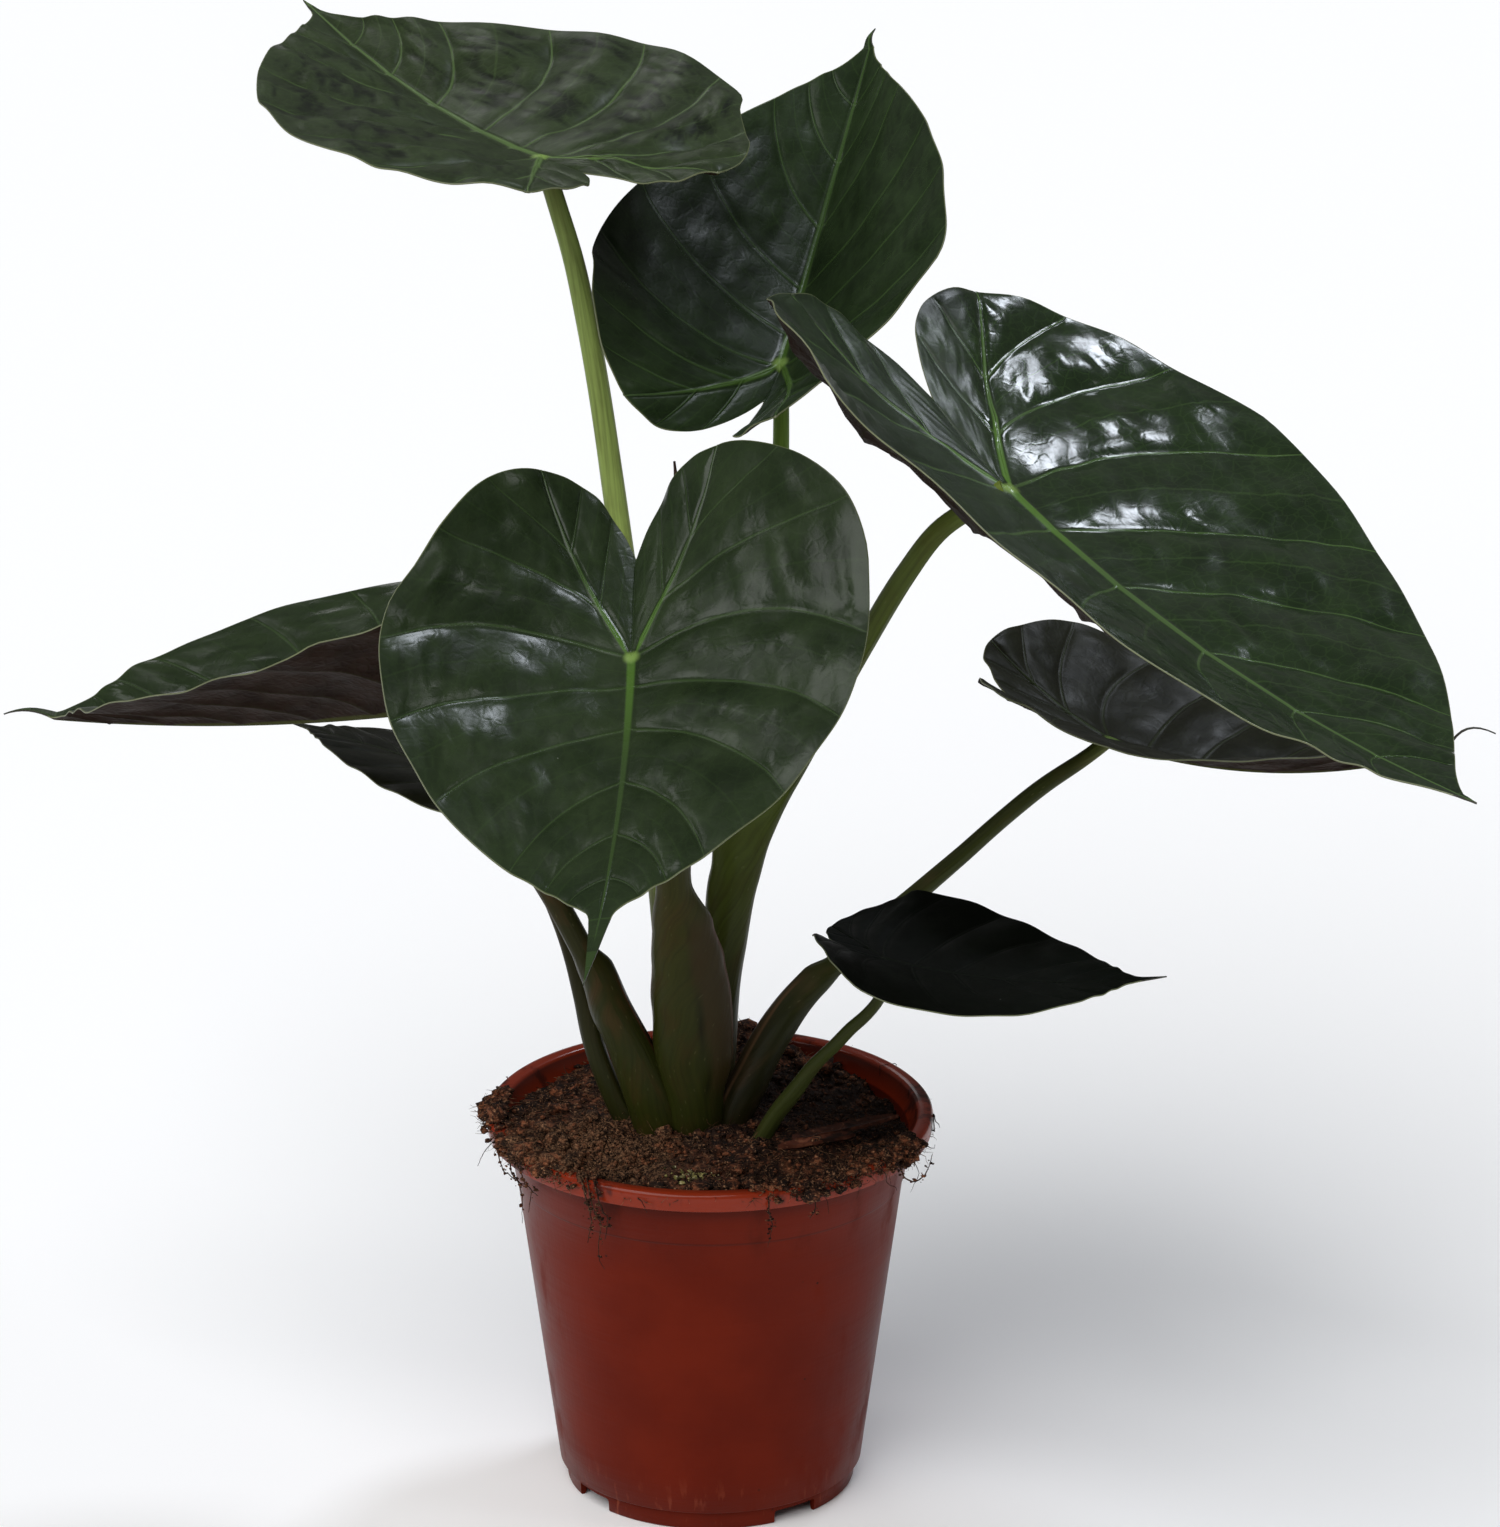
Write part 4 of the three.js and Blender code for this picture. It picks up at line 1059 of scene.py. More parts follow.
@dataclass
class Blade:
    """A leaf blade, in millimetres: a thin waved sheet with raised ribs, a pale margin and a dark underside.

    Attributes:
        name: The leaf's name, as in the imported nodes.
        shape: Its form and place.
        finish: Its upper face.
        thickness: Its own thickness.
        rib_width: Half the midrib's width at the stalk.
        rib_height, rib_depth: How far the midrib stands up on the upper face and out below.
        vein_height, vein_depth: How far a side vein stands up in its groove and out below.
        groove: How deep the groove along a side vein is.
        wrinkle, wrinkle_length: The height and length of the fine wrinkles between two side veins.
        dent, dent_length: The height and length of the broad dents.
        drip_edge: What the drip tip stores as its distance to the margin.
    """

    name: str
    shape: BladeShape
    finish: BladeFinish
    thickness: float = 0.62
    rib_width: float = 2.7
    rib_height: float = 0.65
    rib_depth: float = 2.2
    vein_height: float = 0.55
    vein_depth: float = 0.8
    groove: float = 0.6
    wrinkle: float = 0.7
    wrinkle_length: float = 11.0
    dent: float = 1.4
    dent_length: float = 32.0
    drip_edge: float = 3.0

    def __post_init__(self) -> None:
        """Takes its noise, and how much smaller than a full leaf's its relief is."""
        self.noise = NoiseField(self.shape.seed)
        self.small = min(1.0, self.shape.length / FULL_LENGTH)

    def rows(self) -> Rows:
        """One row for each line of vertices from the midrib to the margin.

        Returns:
            Columns of the outline's knot, the starts and the bow, the share t of the way between two veins,
            the first one's number, both widths, and the swell.
        """
        veins, found = DRIP + SIDE_VEINS + LOBE_VEINS, []
        keys = ("knot", "start", "rib", "bow", "t", "number", "width", "next", "swell")
        for number, (near, far) in enumerate(zip(veins, veins[1:])):
            steps = BETWEEN_VEINS if near.start <= 1 else np.linspace(0, 1, 5)
            for t in steps if far is veins[-1] else steps[:-1]:
                blend = [getattr(near, key) * (1 - t) + getattr(far, key) * t for key in keys[:4]]
                found.append((*blend, t, number, near.width, far.width, near.swell))
        return {key: column[:, None] for key, column in zip(keys, np.array(found).T)}

    def flat_places(self, side: int, rows: Rows, v: Array) -> tuple[Array, ...]:
        """Lays the rows out on the flat blade.

        Args:
            side: 1 for left, -1 for right.
            rows: The rows from rows().
            v: Shares of the way to the margin.

        Returns:
            Places ahead and out, as rows by columns, and a column of the rows' lengths.
        """
        shape, start = self.shape, rows["start"]
        ends = shape.outline(side, rows["knot"][:, 0])
        on_midrib = np.where(start > 1, shape.length + (start - 1) * shape.drip, start * shape.length)
        starts = np.where(start > 0, on_midrib * [1.0, 0.0], shape.lobe_rib(side) * rows["rib"])
        ends[:, :1] = np.where(start > 1, starts[:, :1], ends[:, :1])
        curve = 0.45 * smoothstep(0.3, 0.0, rows["rib"]) * (start <= 1) * (v - v**2)
        ahead, out = v - curve, v + curve
        back = 4 * shape.half(side).width * rows["bow"] * (v * (1 - v) ** 1.5)
        x = starts[:, :1] * (1 - ahead) + ends[:, :1] * ahead - back
        y = starts[:, 1:] * (1 - out) + ends[:, 1:] * out
        return x, np.maximum(y, 0.0), np.linalg.norm(ends - starts, axis=1, keepdims=True)

    def vein_distance(self, rows: Rows, x: Array, y: Array) -> tuple[Array, Array]:
        """Distance from each place to the veins on both sides of it.

        Args:
            rows: The rows from rows().
            x: Flat places ahead.
            y: Flat places out.

        Returns:
            The distance to the vein before and to the vein after, in millimetres.
        """
        flat = np.stack([x, y], -1)
        number = rows["number"][:, 0].astype(int)
        first = np.append(np.unique(number, return_index=True)[1], len(number) - 1)
        found = []
        for vein in (flat[first[number]], flat[first[number + 1]]):
            tangent = unit(np.gradient(vein, axis=1))
            offset = flat - vein
            found.append(np.abs(offset[..., 0] * tangent[..., 1] - offset[..., 1] * tangent[..., 0]))
        return found[0], found[1]

    def measured(self, side: int, rows: Rows, v: Array) -> Rows:
        """Finds how far each place of one half is from what gives the blade its relief.

        Args:
            side: 1 for left, -1 for right.
            rows: The rows from rows().
            v: Shares of the way to the margin.

        Returns:
            The flat places x and y, the rows' length, the share of the blade's length, how many half widths
            away the nearest vein and rib are, the ribs' ridge from 0 to 1, the distance to the stalk (hub)
            and the one to the line midway between two veins (thin_vein).
        """
        shape, small = self.shape, self.small
        x, y, length = self.flat_places(side, rows, v)
        before, after = self.vein_distance(rows, x, y)
        taper = 0.35 + 0.65 * (1 - v) ** 0.8
        wide_before, wide_after = (np.maximum(rows[key] * taper * small, 0.05) for key in ("width", "next"))
        end = shape.lobe_rib(side)
        reach = np.linalg.norm(end)
        toward = end / reach
        along_rib = np.clip((x * toward[0] + y * toward[1]) / reach, 0, 1)
        rib_off = np.hypot(x - along_rib * end[0], y - along_rib * end[1])
        seam = smoothstep(3.0, 0.0, y) * (x < 0)
        rib_off = rib_off * (1 - seam) + np.hypot(x, y) * seam
        full = self.rib_width * small
        rib_wide = np.maximum(full * (0.78 - 0.6 * np.minimum(along_rib / 0.9, 1)), 0.3 * small)
        share = np.clip(x / shape.length, -1, 1.3)
        mid_wide = full * np.clip(1.02 - 0.82 * share, 0.12, 1)
        mid_off = np.where(x > 0, y, np.hypot(x, y))
        mid_off = np.where(share > 1.0, np.maximum(mid_off, mid_wide * (0.2 + 8 * (share - 1.0))), mid_off)
        ribs = ((mid_off, mid_wide), (rib_off, rib_wide))
        return {
            "x": x,
            "y": y,
            "length": length,
            "share": share,
            "vein": np.minimum(before / wide_before, after / wide_after),
            "rib": np.minimum(mid_off / mid_wide, rib_off / rib_wide),
            "ridge": np.maximum(*(wide / full * np.exp(-((off / wide / 0.85) ** 4)) for off, wide in ribs)),
            "hub": np.hypot(x, y) / small,
            "thin_vein": np.minimum(np.abs(rows["t"] - 0.5) * (before + after) / 0.5, FAR),
        }

    def raised(self, side: int, rows: Rows, v: Array, at: Rows) -> tuple[Array, ...]:
        """Works out the relief of one half.

        Args:
            side: 1 for left, -1 for right.
            rows: The rows from rows().
            v: Shares of the way to the margin.
            at: What measured() found.

        Returns:
            How far the upper face stands up, how far the veins stand out below, both in millimetres, and how
            deep each place lies in a wrinkle, up to 1, for the material's painted shade.
        """
        shape, small, noise = self.shape, self.small, self.noise
        t, number, swell, x, y = rows["t"], rows["number"], rows["swell"], at["x"], at["y"]
        off_drip = smoothstep(1.02, 0.9, rows["start"])
        crown = np.sin(np.pi * t) ** 0.85 * np.clip(np.sin(np.pi * v), 0, 1) ** 0.8
        lift = 0.75 + 0.6 * noise(number * 3.7 + 0.5, side * 5.3 + v * 2.2)
        rise = shape.crown * shape.swell * swell * crown * lift

        ends_free = smoothstep(18.6, 16.5, rows["knot"]) * smoothstep(2.0, 4.5, rows["knot"])
        unevenness = noise(rows["knot"] * 0.9, side * 3.1, 2.5)
        rise = rise + shape.wave * v**3 * (unevenness - 0.3 * np.cos(2 * np.pi * t)) * ends_free

        slanted = v * at["length"] + 0.35 * self.wrinkle_length * np.sin(np.pi * t)
        layers = ((1.0, 1.3, 9.1, 4.0), (0.8, 2.1, 5.7, 7.0), (0.3, 3.3, 2.3, 5.0))
        wrinkles, creases, fine = (
            noise(slanted / (size * self.wrinkle_length), t * across + number * apart, side * layer)
            for size, across, apart, layer in layers
        )
        window = np.sin(np.pi * t) ** 0.6 * smoothstep(0.03, 0.22, v) * smoothstep(1.0, 0.9, v) * off_drip
        window = window * swell**1.5
        quilted = 0.7 * wrinkles + 1.5 * np.abs(creases) + 0.12 * fine
        # How deep each place lies in a wrinkle, which the material darkens as painted shade.
        hollow = smoothstep(0.5, -0.1, quilted + 0.3 * fine) * window
        rise = rise + shape.wrinkle * self.wrinkle * small * window * quilted

        large, less = self.dent_length, 0.42 * self.dent_length
        dents = noise(x / large, side * y / large, 1.5) + 0.5 * noise(x / less, side * y / less, 7.5)
        dents = shape.dent * dents * smoothstep(2, 18, y) * (0.45 + 0.55 * swell)
        rise = rise + self.dent * small * dents * off_drip * smoothstep(1.0, 0.85, v)

        vein, rib, ridge = at["vein"], at["rib"], at["ridge"]
        veined = small * off_drip * smoothstep(0.0, 0.05, v) * smoothstep(1.0, 0.9, v)
        grooved = self.vein_height * np.exp(-(vein**2)) - self.groove * np.exp(-((vein / 3.6) ** 2))
        rise = rise + veined * grooved
        rise = rise + small * self.rib_height * ridge
        rise = rise - 0.5 * small * self.groove * np.exp(-(((rib - 1.7) / 0.6) ** 2)) * off_drip
        rise = rise + small * 0.8 * np.exp(-((at["hub"] / 4.5) ** 2))
        under = small * self.vein_depth * np.exp(-((vein / 1.3) ** 2)) * off_drip * smoothstep(1.0, 0.6, v)
        under = np.maximum(under, small * self.rib_depth * ridge) * smoothstep(1.12, 0.96, at["share"])
        return rise, under, hollow

    def half_sheet(self, side: int) -> Piece:
        """Builds the upper face of one half.

        Args:
            side: 1 for left, -1 for right.

        Returns:
            The sheet, with what the materials and the underside need stored at its vertices.
        """
        shape, rows, v = self.shape, self.rows(), ACROSS
        at = self.measured(side, rows, v)
        x, y, length, number = at["x"], at["y"], at["length"], rows["number"]
        rise, under, hollow = self.raised(side, rows, v, at)
        facing = shape.facing(side, x, y)
        surface = shape.bent(side, x, y) + facing * rise[..., None]
        places = placed(surface @ shape.axes() + np.array(shape.attach))
        up = facing @ shape.axes()
        facts = {
            "vein": np.minimum(at["vein"], FAR),
            "thin_vein": at["thin_vein"],
            "rib": np.minimum(at["rib"], FAR),
            "edge": np.where(rows["start"] > 1, self.drip_edge, (1 - v) * length),
            "hub": at["hub"],
            "hollow": hollow,
            "under": under,
            "up_x": up[..., 0],
            "up_y": up[..., 1],
            "up_z": up[..., 2],
            "flat_x": x,
            "flat_y": side * y,
            "run": v * length + number * PATCHES_APART[0],
            "cross": rows["t"] * np.minimum(length, 60) + number * PATCHES_APART[1],
        }
        outwards = slice(None, None, side)
        piece = sheet(f"leaf_{self.name}", places[:, outwards])
        for key, values in facts.items():
            write_attribute(piece, key, np.broadcast_to(values, x.shape)[:, outwards])
        return piece

    def build(self) -> Piece:
        """Builds the whole blade.

        Returns:
            The finished piece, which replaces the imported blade.
        """
        piece, other = self.half_sheet(1), self.half_sheet(-1)
        make_active(piece)
        other.select_set(True)
        bpy.ops.object.join()
        with editing(piece):
            bpy.ops.mesh.remove_doubles(threshold=2 * SAME_PLACE)
        name = self.name
        coat(piece, self.finish, UndersideFinish(f"{name}_underside"), MarginFinish(f"{name}_margin"))
        count = len(piece.data.vertices)
        apply_modifier(
            piece, "SOLIDIFY", thickness=self.thickness * MM, offset=-1.0, use_rim=True,
            use_quality_normals=True, material_offset=1, material_offset_rim=2,
        )
        keys = ("flat_x", "flat_y", "run", "cross", "up_x", "up_y", "up_z", "under")
        facts = np.stack([read_attribute(piece, key) for key in keys], -1)
        facts[:count, 7] = 0
        set_vertices(piece, vertices_of(piece) - facts[:, 4:7] * facts[:, 7:] * MM)
        write_uv(piece, "flat", facts[:, :2] * MM)
        write_uv(piece, "along_veins", facts[:, 2:4] * MM)
        for key in keys:
            piece.data.attributes.remove(piece.data.attributes[key])
        smooth(piece)
        return hand_over(piece, f"blade_{name}")


# Stalks


def line_through(path: Sequence[Place], shares: Array) -> Array:
    """Places on a smooth line through points, by the share of its length.

    Args:
        path: The points.
        shares: From 0 at the first point to 1 at the last.

    Returns:
        One row of x, y, z for each share.
    """
    points = np.array(path, float)
    points = np.vstack([2 * points[0] - points[1], points, 2 * points[-1] - points[-2]])
    t = np.linspace(0, 1, 24, endpoint=False)[:, None]
    fine = []
    for i in range(1, len(points) - 2):
        p0, p1, p2, p3 = points[i - 1 : i + 3]
        d = [max(np.linalg.norm(b - a) ** 0.5, 1e-4) for a, b in ((p0, p1), (p1, p2), (p2, p3))]
        leave = (p1 - p0) / d[0] - (p2 - p0) / (d[0] + d[1]) + (p2 - p1) / d[1]
        arrive = (p2 - p1) / d[1] - (p3 - p1) / (d[1] + d[2]) + (p3 - p2) / d[2]
        fine.append(hermite(p1, p2, leave * d[1], arrive * d[1], t))
    dense = np.vstack([*fine, points[-2]])
    run = np.concatenate([[0], np.cumsum(np.linalg.norm(np.diff(dense, axis=0), axis=1))])
    return np.stack([np.interp(shares * run[-1], run, dense[:, k]) for k in range(3)], -1)


@dataclass(frozen=True)
class Section:
    """A stalk's section at one place, in millimetres. A front below zero hollows it into a sheath.

    Attributes:
        at: The share of the stalk's length.
        left, right: Half widths to the left and right.
        back, front: From the middle to the outer and to the inner side.
    """

    at: float
    left: float
    right: float
    back: float
    front: float


@dataclass(frozen=True)
class StalkShape:
    """A stalk's route and sections.

    Attributes:
        path: Points of its middle line, from under the soil to the blade, in millimetres.
        inner: The way its hollow side faces, in degrees anticlockwise from +X.
        sections: Its sections from the foot up.
        free_edge: Where a sheath's free edge runs, in degrees round it from its right side to its front.
        edge_ends: The share of the length at which that edge has run out.
    """

    path: tuple[Place, ...]
    inner: float
    sections: tuple[Section, ...]
    free_edge: float = 0.0
    edge_ends: float = 0.0

    def length(self) -> float:
        """The middle line's length, in millimetres."""
        line = line_through(self.path, np.linspace(0, 1, 80))
        return float(np.sum(np.linalg.norm(np.diff(line, axis=0), axis=1)))

    def sizes(self, shares: Array) -> Rows:
        """The sections' sizes at shares of the length.

        Args:
            shares: From 0 at the foot to 1 at the blade.

        Returns:
            Arrays named left, right, back and front, in the shape of the shares.
        """
        at = np.array([s.at for s in self.sections])
        index = np.clip(np.searchsorted(at, shares), 1, len(at) - 1)
        t = smoothstep(0, 1, (shares - at[index - 1]) / (at[index] - at[index - 1]))
        found = {}
        for key in ("left", "right", "back", "front"):
            values = np.array([getattr(s, key) for s in self.sections])
            found[key] = values[index - 1] * (1 - t) + values[index] * t
        return found


@dataclass
class Stalk:
    """One leaf stalk, round above and a sheath at its foot.

    Attributes:
        name, node: The piece's name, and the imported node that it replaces.
        shape: Its route and sections.
        finish: Its colours.
        seed: Picks its small irregularities.
        tuck: How far short of its route's end it stops, under the blade, in millimetres.
        sides, rings: How many sides and rings its skin has.
        crease_degrees: Edges sharper than this stay sharp.
    """

    name: str
    node: str
    shape: StalkShape
    finish: StalkFinish
    seed: int
    tuck: float = 3.5
    sides: int = 48
    rings: int = 96
    crease_degrees: float = 75.0

    def surface(self) -> tuple[Array, Rows]:
        """Lays out the stalk's skin.

        Returns:
            Its places as rings by sides, in millimetres, and what the material reads at each of them.
        """
        shape, noise, length = self.shape, NoiseField(self.seed), self.shape.length()
        shares = np.linspace(0, 1 - self.tuck / length, self.rings)[:, None]
        angle = np.linspace(0, 2 * np.pi, self.sides + 1)
        cos, sin = np.cos(angle), np.sin(angle)
        centre = line_through(shape.path, shares[:, 0])
        tangent = unit(np.gradient(centre, axis=0))
        inner = math.radians(shape.inner)
        toward = np.array([math.cos(inner), math.sin(inner), 0.0])
        front = unit(toward[None] - tangent * (tangent @ toward)[:, None])
        right = np.cross(front, tangent)
        sizes = shape.sizes(shares)
        hollow = smoothstep(1.5, -1.5, sizes["front"])
        lip = hollow * np.exp(-((np.abs(sin) / 0.24) ** 2))
        flare = noise(shares * 9, np.sign(cos) * 3.0, 0.7) * 0.9 * lip
        x = cos * np.where(cos > 0, sizes["right"], sizes["left"]) * (1 + 0.05 * flare)
        y = sin * np.where(sin > 0, sizes["front"], sizes["back"])

        beyond = x / sizes["left"]
        wide = hollow * smoothstep(1.05, 1.25, sizes["right"] / sizes["left"])
        # The fold beside a sheath's wing: a slight dent, which the material also darkens as painted shade.
        crease = wide * np.exp(-(((beyond - 0.6) / 0.07) ** 2))
        edge = math.radians(shape.free_edge)
        runs = smoothstep(shape.edge_ends, 0.8 * shape.edge_ends - 0.01, shares)
        past = (angle - edge) * runs
        free = runs * np.exp(-((past / 0.13) ** 2))
        flap = runs * smoothstep(0.04, -0.04, np.abs(angle - np.pi / 2) - abs(edge - np.pi / 2))
        step = free * smoothstep(0.05, -0.05, past) - 0.9 * crease
        bumps = 0.18 * noise(cos * 2.2, sin * 2.2, shares * 14)
        grooves = 0.05 * np.sin(angle * 14 + 3 * noise(shares * 3, 0.0, 0.5))
        swell = 1 + (bumps + grooves + 0.6 * step) / 9
        x, y = (x * swell)[..., None], (y * swell)[..., None]
        places = centre[:, None] + right[:, None] * x + front[:, None] * y
        facts = {
            "along": shares,
            "lip": np.maximum(lip, free),
            "wing": np.maximum(wide * smoothstep(0.6, 0.8, beyond), flap),
            "crease": crease,
            "around": angle * 0.5 * (sizes["left"] + sizes["back"]),
            "run": shares * length,
        }
        return places, {key: np.broadcast_to(values, swell.shape) for key, values in facts.items()}

    def build(self) -> Piece:
        """Builds the stalk.

        Returns:
            The finished piece.
        """
        places, facts = self.surface()
        piece = sheet(self.name, placed(places))
        for key in ("along", "lip", "wing", "crease"):
            write_attribute(piece, key, facts[key])
        write_uv(piece, "skin", np.stack([facts["around"].reshape(-1), facts["run"].reshape(-1)], -1) * MM)
        with editing(piece, "EDGE"):
            bpy.ops.mesh.remove_doubles(threshold=SAME_PLACE)
            bpy.ops.mesh.select_all(action="DESELECT")
            bpy.ops.mesh.select_non_manifold()
            bpy.ops.mesh.fill_holes(sides=0)
            turn_outwards()
        coat(piece, self.finish)
        smooth(piece, self.crease_degrees)
        return hand_over(piece, self.node)


# Pot


@dataclass(frozen=True)
class NurseryPot:
    """A thin moulded pot with a flanged rim, a faint step and a notched foot ring, in metres.

    Attributes:
        height: Floor to rim.
        rim_radius, rim_inner, rim_height: The rim's outer and inner radius, and how far it reaches down.
        wall_top, wall_bottom, wall: The wall's radii under the rim and at the foot, and its thickness.
        step_below_rim, step: How far under the rim the step is, and how far it stands out.
        foot_height, foot_radius, foot_wall: The foot ring's height, outer radius and thickness.
        notch_width, notch_height: A notch's size. It reaches and is rounded by notch_reach, notch_bevel.
        drain_radius, drain_circle, drain_depth: A drain hole's radius, its place off the axis, its depth.
        notch_degrees: Where the notches are, anticlockwise from the side that faces the camera.
        segments: How many sides the round has.
        crease_degrees: Edges sharper than this stay sharp.
    """

    height: float = 0.168
    rim_radius: float = 0.095
    rim_inner: float = 0.088
    rim_height: float = 0.0085
    wall_top: float = 0.085
    wall_bottom: float = 0.065
    wall: float = 0.0015
    step_below_rim: float = 0.02
    step: float = 0.0006
    foot_height: float = 0.009
    foot_radius: float = 0.062
    foot_wall: float = 0.003
    notch_width: float = 0.021
    notch_height: float = 0.006
    notch_reach: float = 0.008
    notch_bevel: float = 0.0012
    drain_radius: float = 0.005
    drain_circle: float = 0.047
    drain_depth: float = 0.02
    notch_degrees: tuple[float, ...] = (-54.0, 36.0, 126.0, 216.0)
    segments: int = 192
    crease_degrees: float = 42.0
    finish: PotFinish = PotFinish()

    def wall_radius(self, z: float) -> float:
        """The wall's outer radius at a height."""
        share = (z - self.foot_height) / (self.height - self.rim_height - self.foot_height)
        return self.wall_bottom + (self.wall_top - self.wall_bottom) * share

    def profile(self) -> list[tuple[float, float]]:
        """Lays out the pot's section.

        Returns:
            Radius and height of each place on it, from the floor outside, up and back down inside.
        """
        foot, top = self.foot_height, self.height
        ring, rim, mouth = self.foot_radius, self.rim_radius, self.rim_inner
        rim_low = top - self.rim_height
        step = rim_low - self.step_below_rim
        ring_inner = ring - self.foot_wall
        below_rim = self.wall_radius(rim_low) + self.step
        inner = self.wall_radius(rim_low) - self.wall
        return [
            (ring_inner, foot), (ring_inner + 0.0003, 0.0006), (ring_inner + 0.0009, 0.0),
            (ring - 0.0008, 0.0), (ring - 0.0001, 0.0007), (ring + 0.0004, foot - 0.0008),
            (ring + 0.001, foot - 0.0003), (self.wall_bottom - 0.0008, foot - 0.0003),
            *[(self.wall_radius(z), z) for z in np.linspace(foot + 0.0005, step, 9)],
            (self.wall_radius(step) + 0.3 * self.step, step + 0.0003),
            (self.wall_radius(step) + self.step, step + 0.0009),
            (below_rim, rim_low - 0.0022), (below_rim + 0.0006, rim_low - 0.0008),
            (below_rim + 0.002, rim_low - 0.0002), (rim - 0.0018, rim_low), (rim - 0.0007, rim_low + 0.0005),
            (rim - 0.0004, rim_low + 0.0014), (rim, top - 0.0024), (rim - 0.0003, top - 0.001),
            (rim - 0.0012, top - 0.0001), (rim - 0.0024, top), (mouth + 0.0015, top - 0.0002),
            (mouth + 0.0004, top - 0.0009), (mouth, top - 0.002), (inner + 0.001, rim_low),
            (inner, rim_low - 0.004),
            (self.wall_radius(foot + 0.004) - self.wall, foot + 0.004),
            (self.wall_radius(foot + 0.002) - self.wall - 0.0015, foot + 0.002),
        ]

    def turned(self) -> Piece:
        """Turns the profile round the axis by extruding a ring from place to place.

        Returns:
            The closed body, without its notches.
        """
        profile = self.profile()
        radius, height = profile[0]
        piece = added(
            "nursery_pot", bpy.ops.mesh.primitive_circle_add,
            vertices=self.segments, radius=radius, fill_type="TRIFAN", location=(*PLANT_ORIGIN[:2], height),
        )
        bpy.ops.object.transform_apply(location=True, rotation=False, scale=False)
        with editing(piece, "EDGE"):
            bpy.ops.mesh.region_to_loop()
            for new_radius, new_height in profile[1:]:
                lift = (0, 0, new_height - height)
                bpy.ops.mesh.extrude_edges_move(TRANSFORM_OT_translate={"value": lift})
                scale = new_radius / radius
                centre = (*PLANT_ORIGIN[:2], new_height)
                bpy.ops.transform.resize(value=(scale, scale, 1), center_override=centre)
                radius, height = new_radius, new_height
            bpy.ops.mesh.edge_face_add()
            turn_outwards()
        return piece

    def cut(self, piece: Piece, operator: Callable[..., object], bevel: float, **settings: object) -> None:
        """Takes the space of a primitive out of the pot.

        Args:
            piece: The pot.
            operator: What adds the primitive.
            bevel: How far its corners are rounded.
            settings: What the operator is given.
        """
        cutter = added("cutter", operator, **settings)
        bpy.ops.object.transform_apply(location=True, rotation=True, scale=True)
        if bevel:
            apply_modifier(cutter, "BEVEL", width=bevel, segments=3)
        apply_modifier(piece, "BOOLEAN", operation="DIFFERENCE", solver="EXACT", object=cutter)
        bpy.data.objects.remove(cutter)

    def build(self) -> Piece:
        """Builds the pot.

        Returns:
            The finished piece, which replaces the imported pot.
        """
        piece = self.turned()
        for degrees in self.notch_degrees:
            turn = math.radians(degrees - 90)
            out = np.array([math.cos(turn), math.sin(turn), 0.0])
            self.cut(
                piece, bpy.ops.mesh.primitive_cube_add, self.notch_bevel,
                size=1, location=PLANT_ORIGIN + self.foot_radius * out, rotation=(0, 0, turn),
                scale=(2 * self.foot_wall + self.notch_reach, self.notch_width, 2 * self.notch_height),
            )
            self.cut(
                piece, bpy.ops.mesh.primitive_cylinder_add, 0.0,
                vertices=40, radius=self.drain_radius, depth=self.drain_depth,
                location=PLANT_ORIGIN + self.drain_circle * out + np.array([0.0, 0.0, self.foot_height]),
            )
        places = vertices_of(piece) - PLANT_ORIGIN
        radius, z = np.hypot(places[:, 0], places[:, 1]), places[:, 2]
        within = (radius < self.wall_radius(z) - 0.8 * self.wall) & (z > self.foot_height + 0.001)
        in_rim = (radius < self.rim_inner + 0.0002) & (z > self.height - self.rim_height + 0.001)
        # Marks the inner wall and the rim's inner face for the material's painted shade.
        write_attribute(piece, "inside", within | in_rim)
        piece.data.materials.clear()
        coat(piece, self.finish)
        smooth(piece, self.crease_degrees)
        return hand_over(piece, "pot")


# Soil


@dataclass(frozen=True)
class Heap:
    """A rise or dip in the soil, in millimetres.

    Attributes:
        x, y: Its middle, to the right and away from the camera.
        radius, height: How wide and how high it is. A height below zero is a dip.
    """

    x: float
    y: float
    radius: float
    height: float


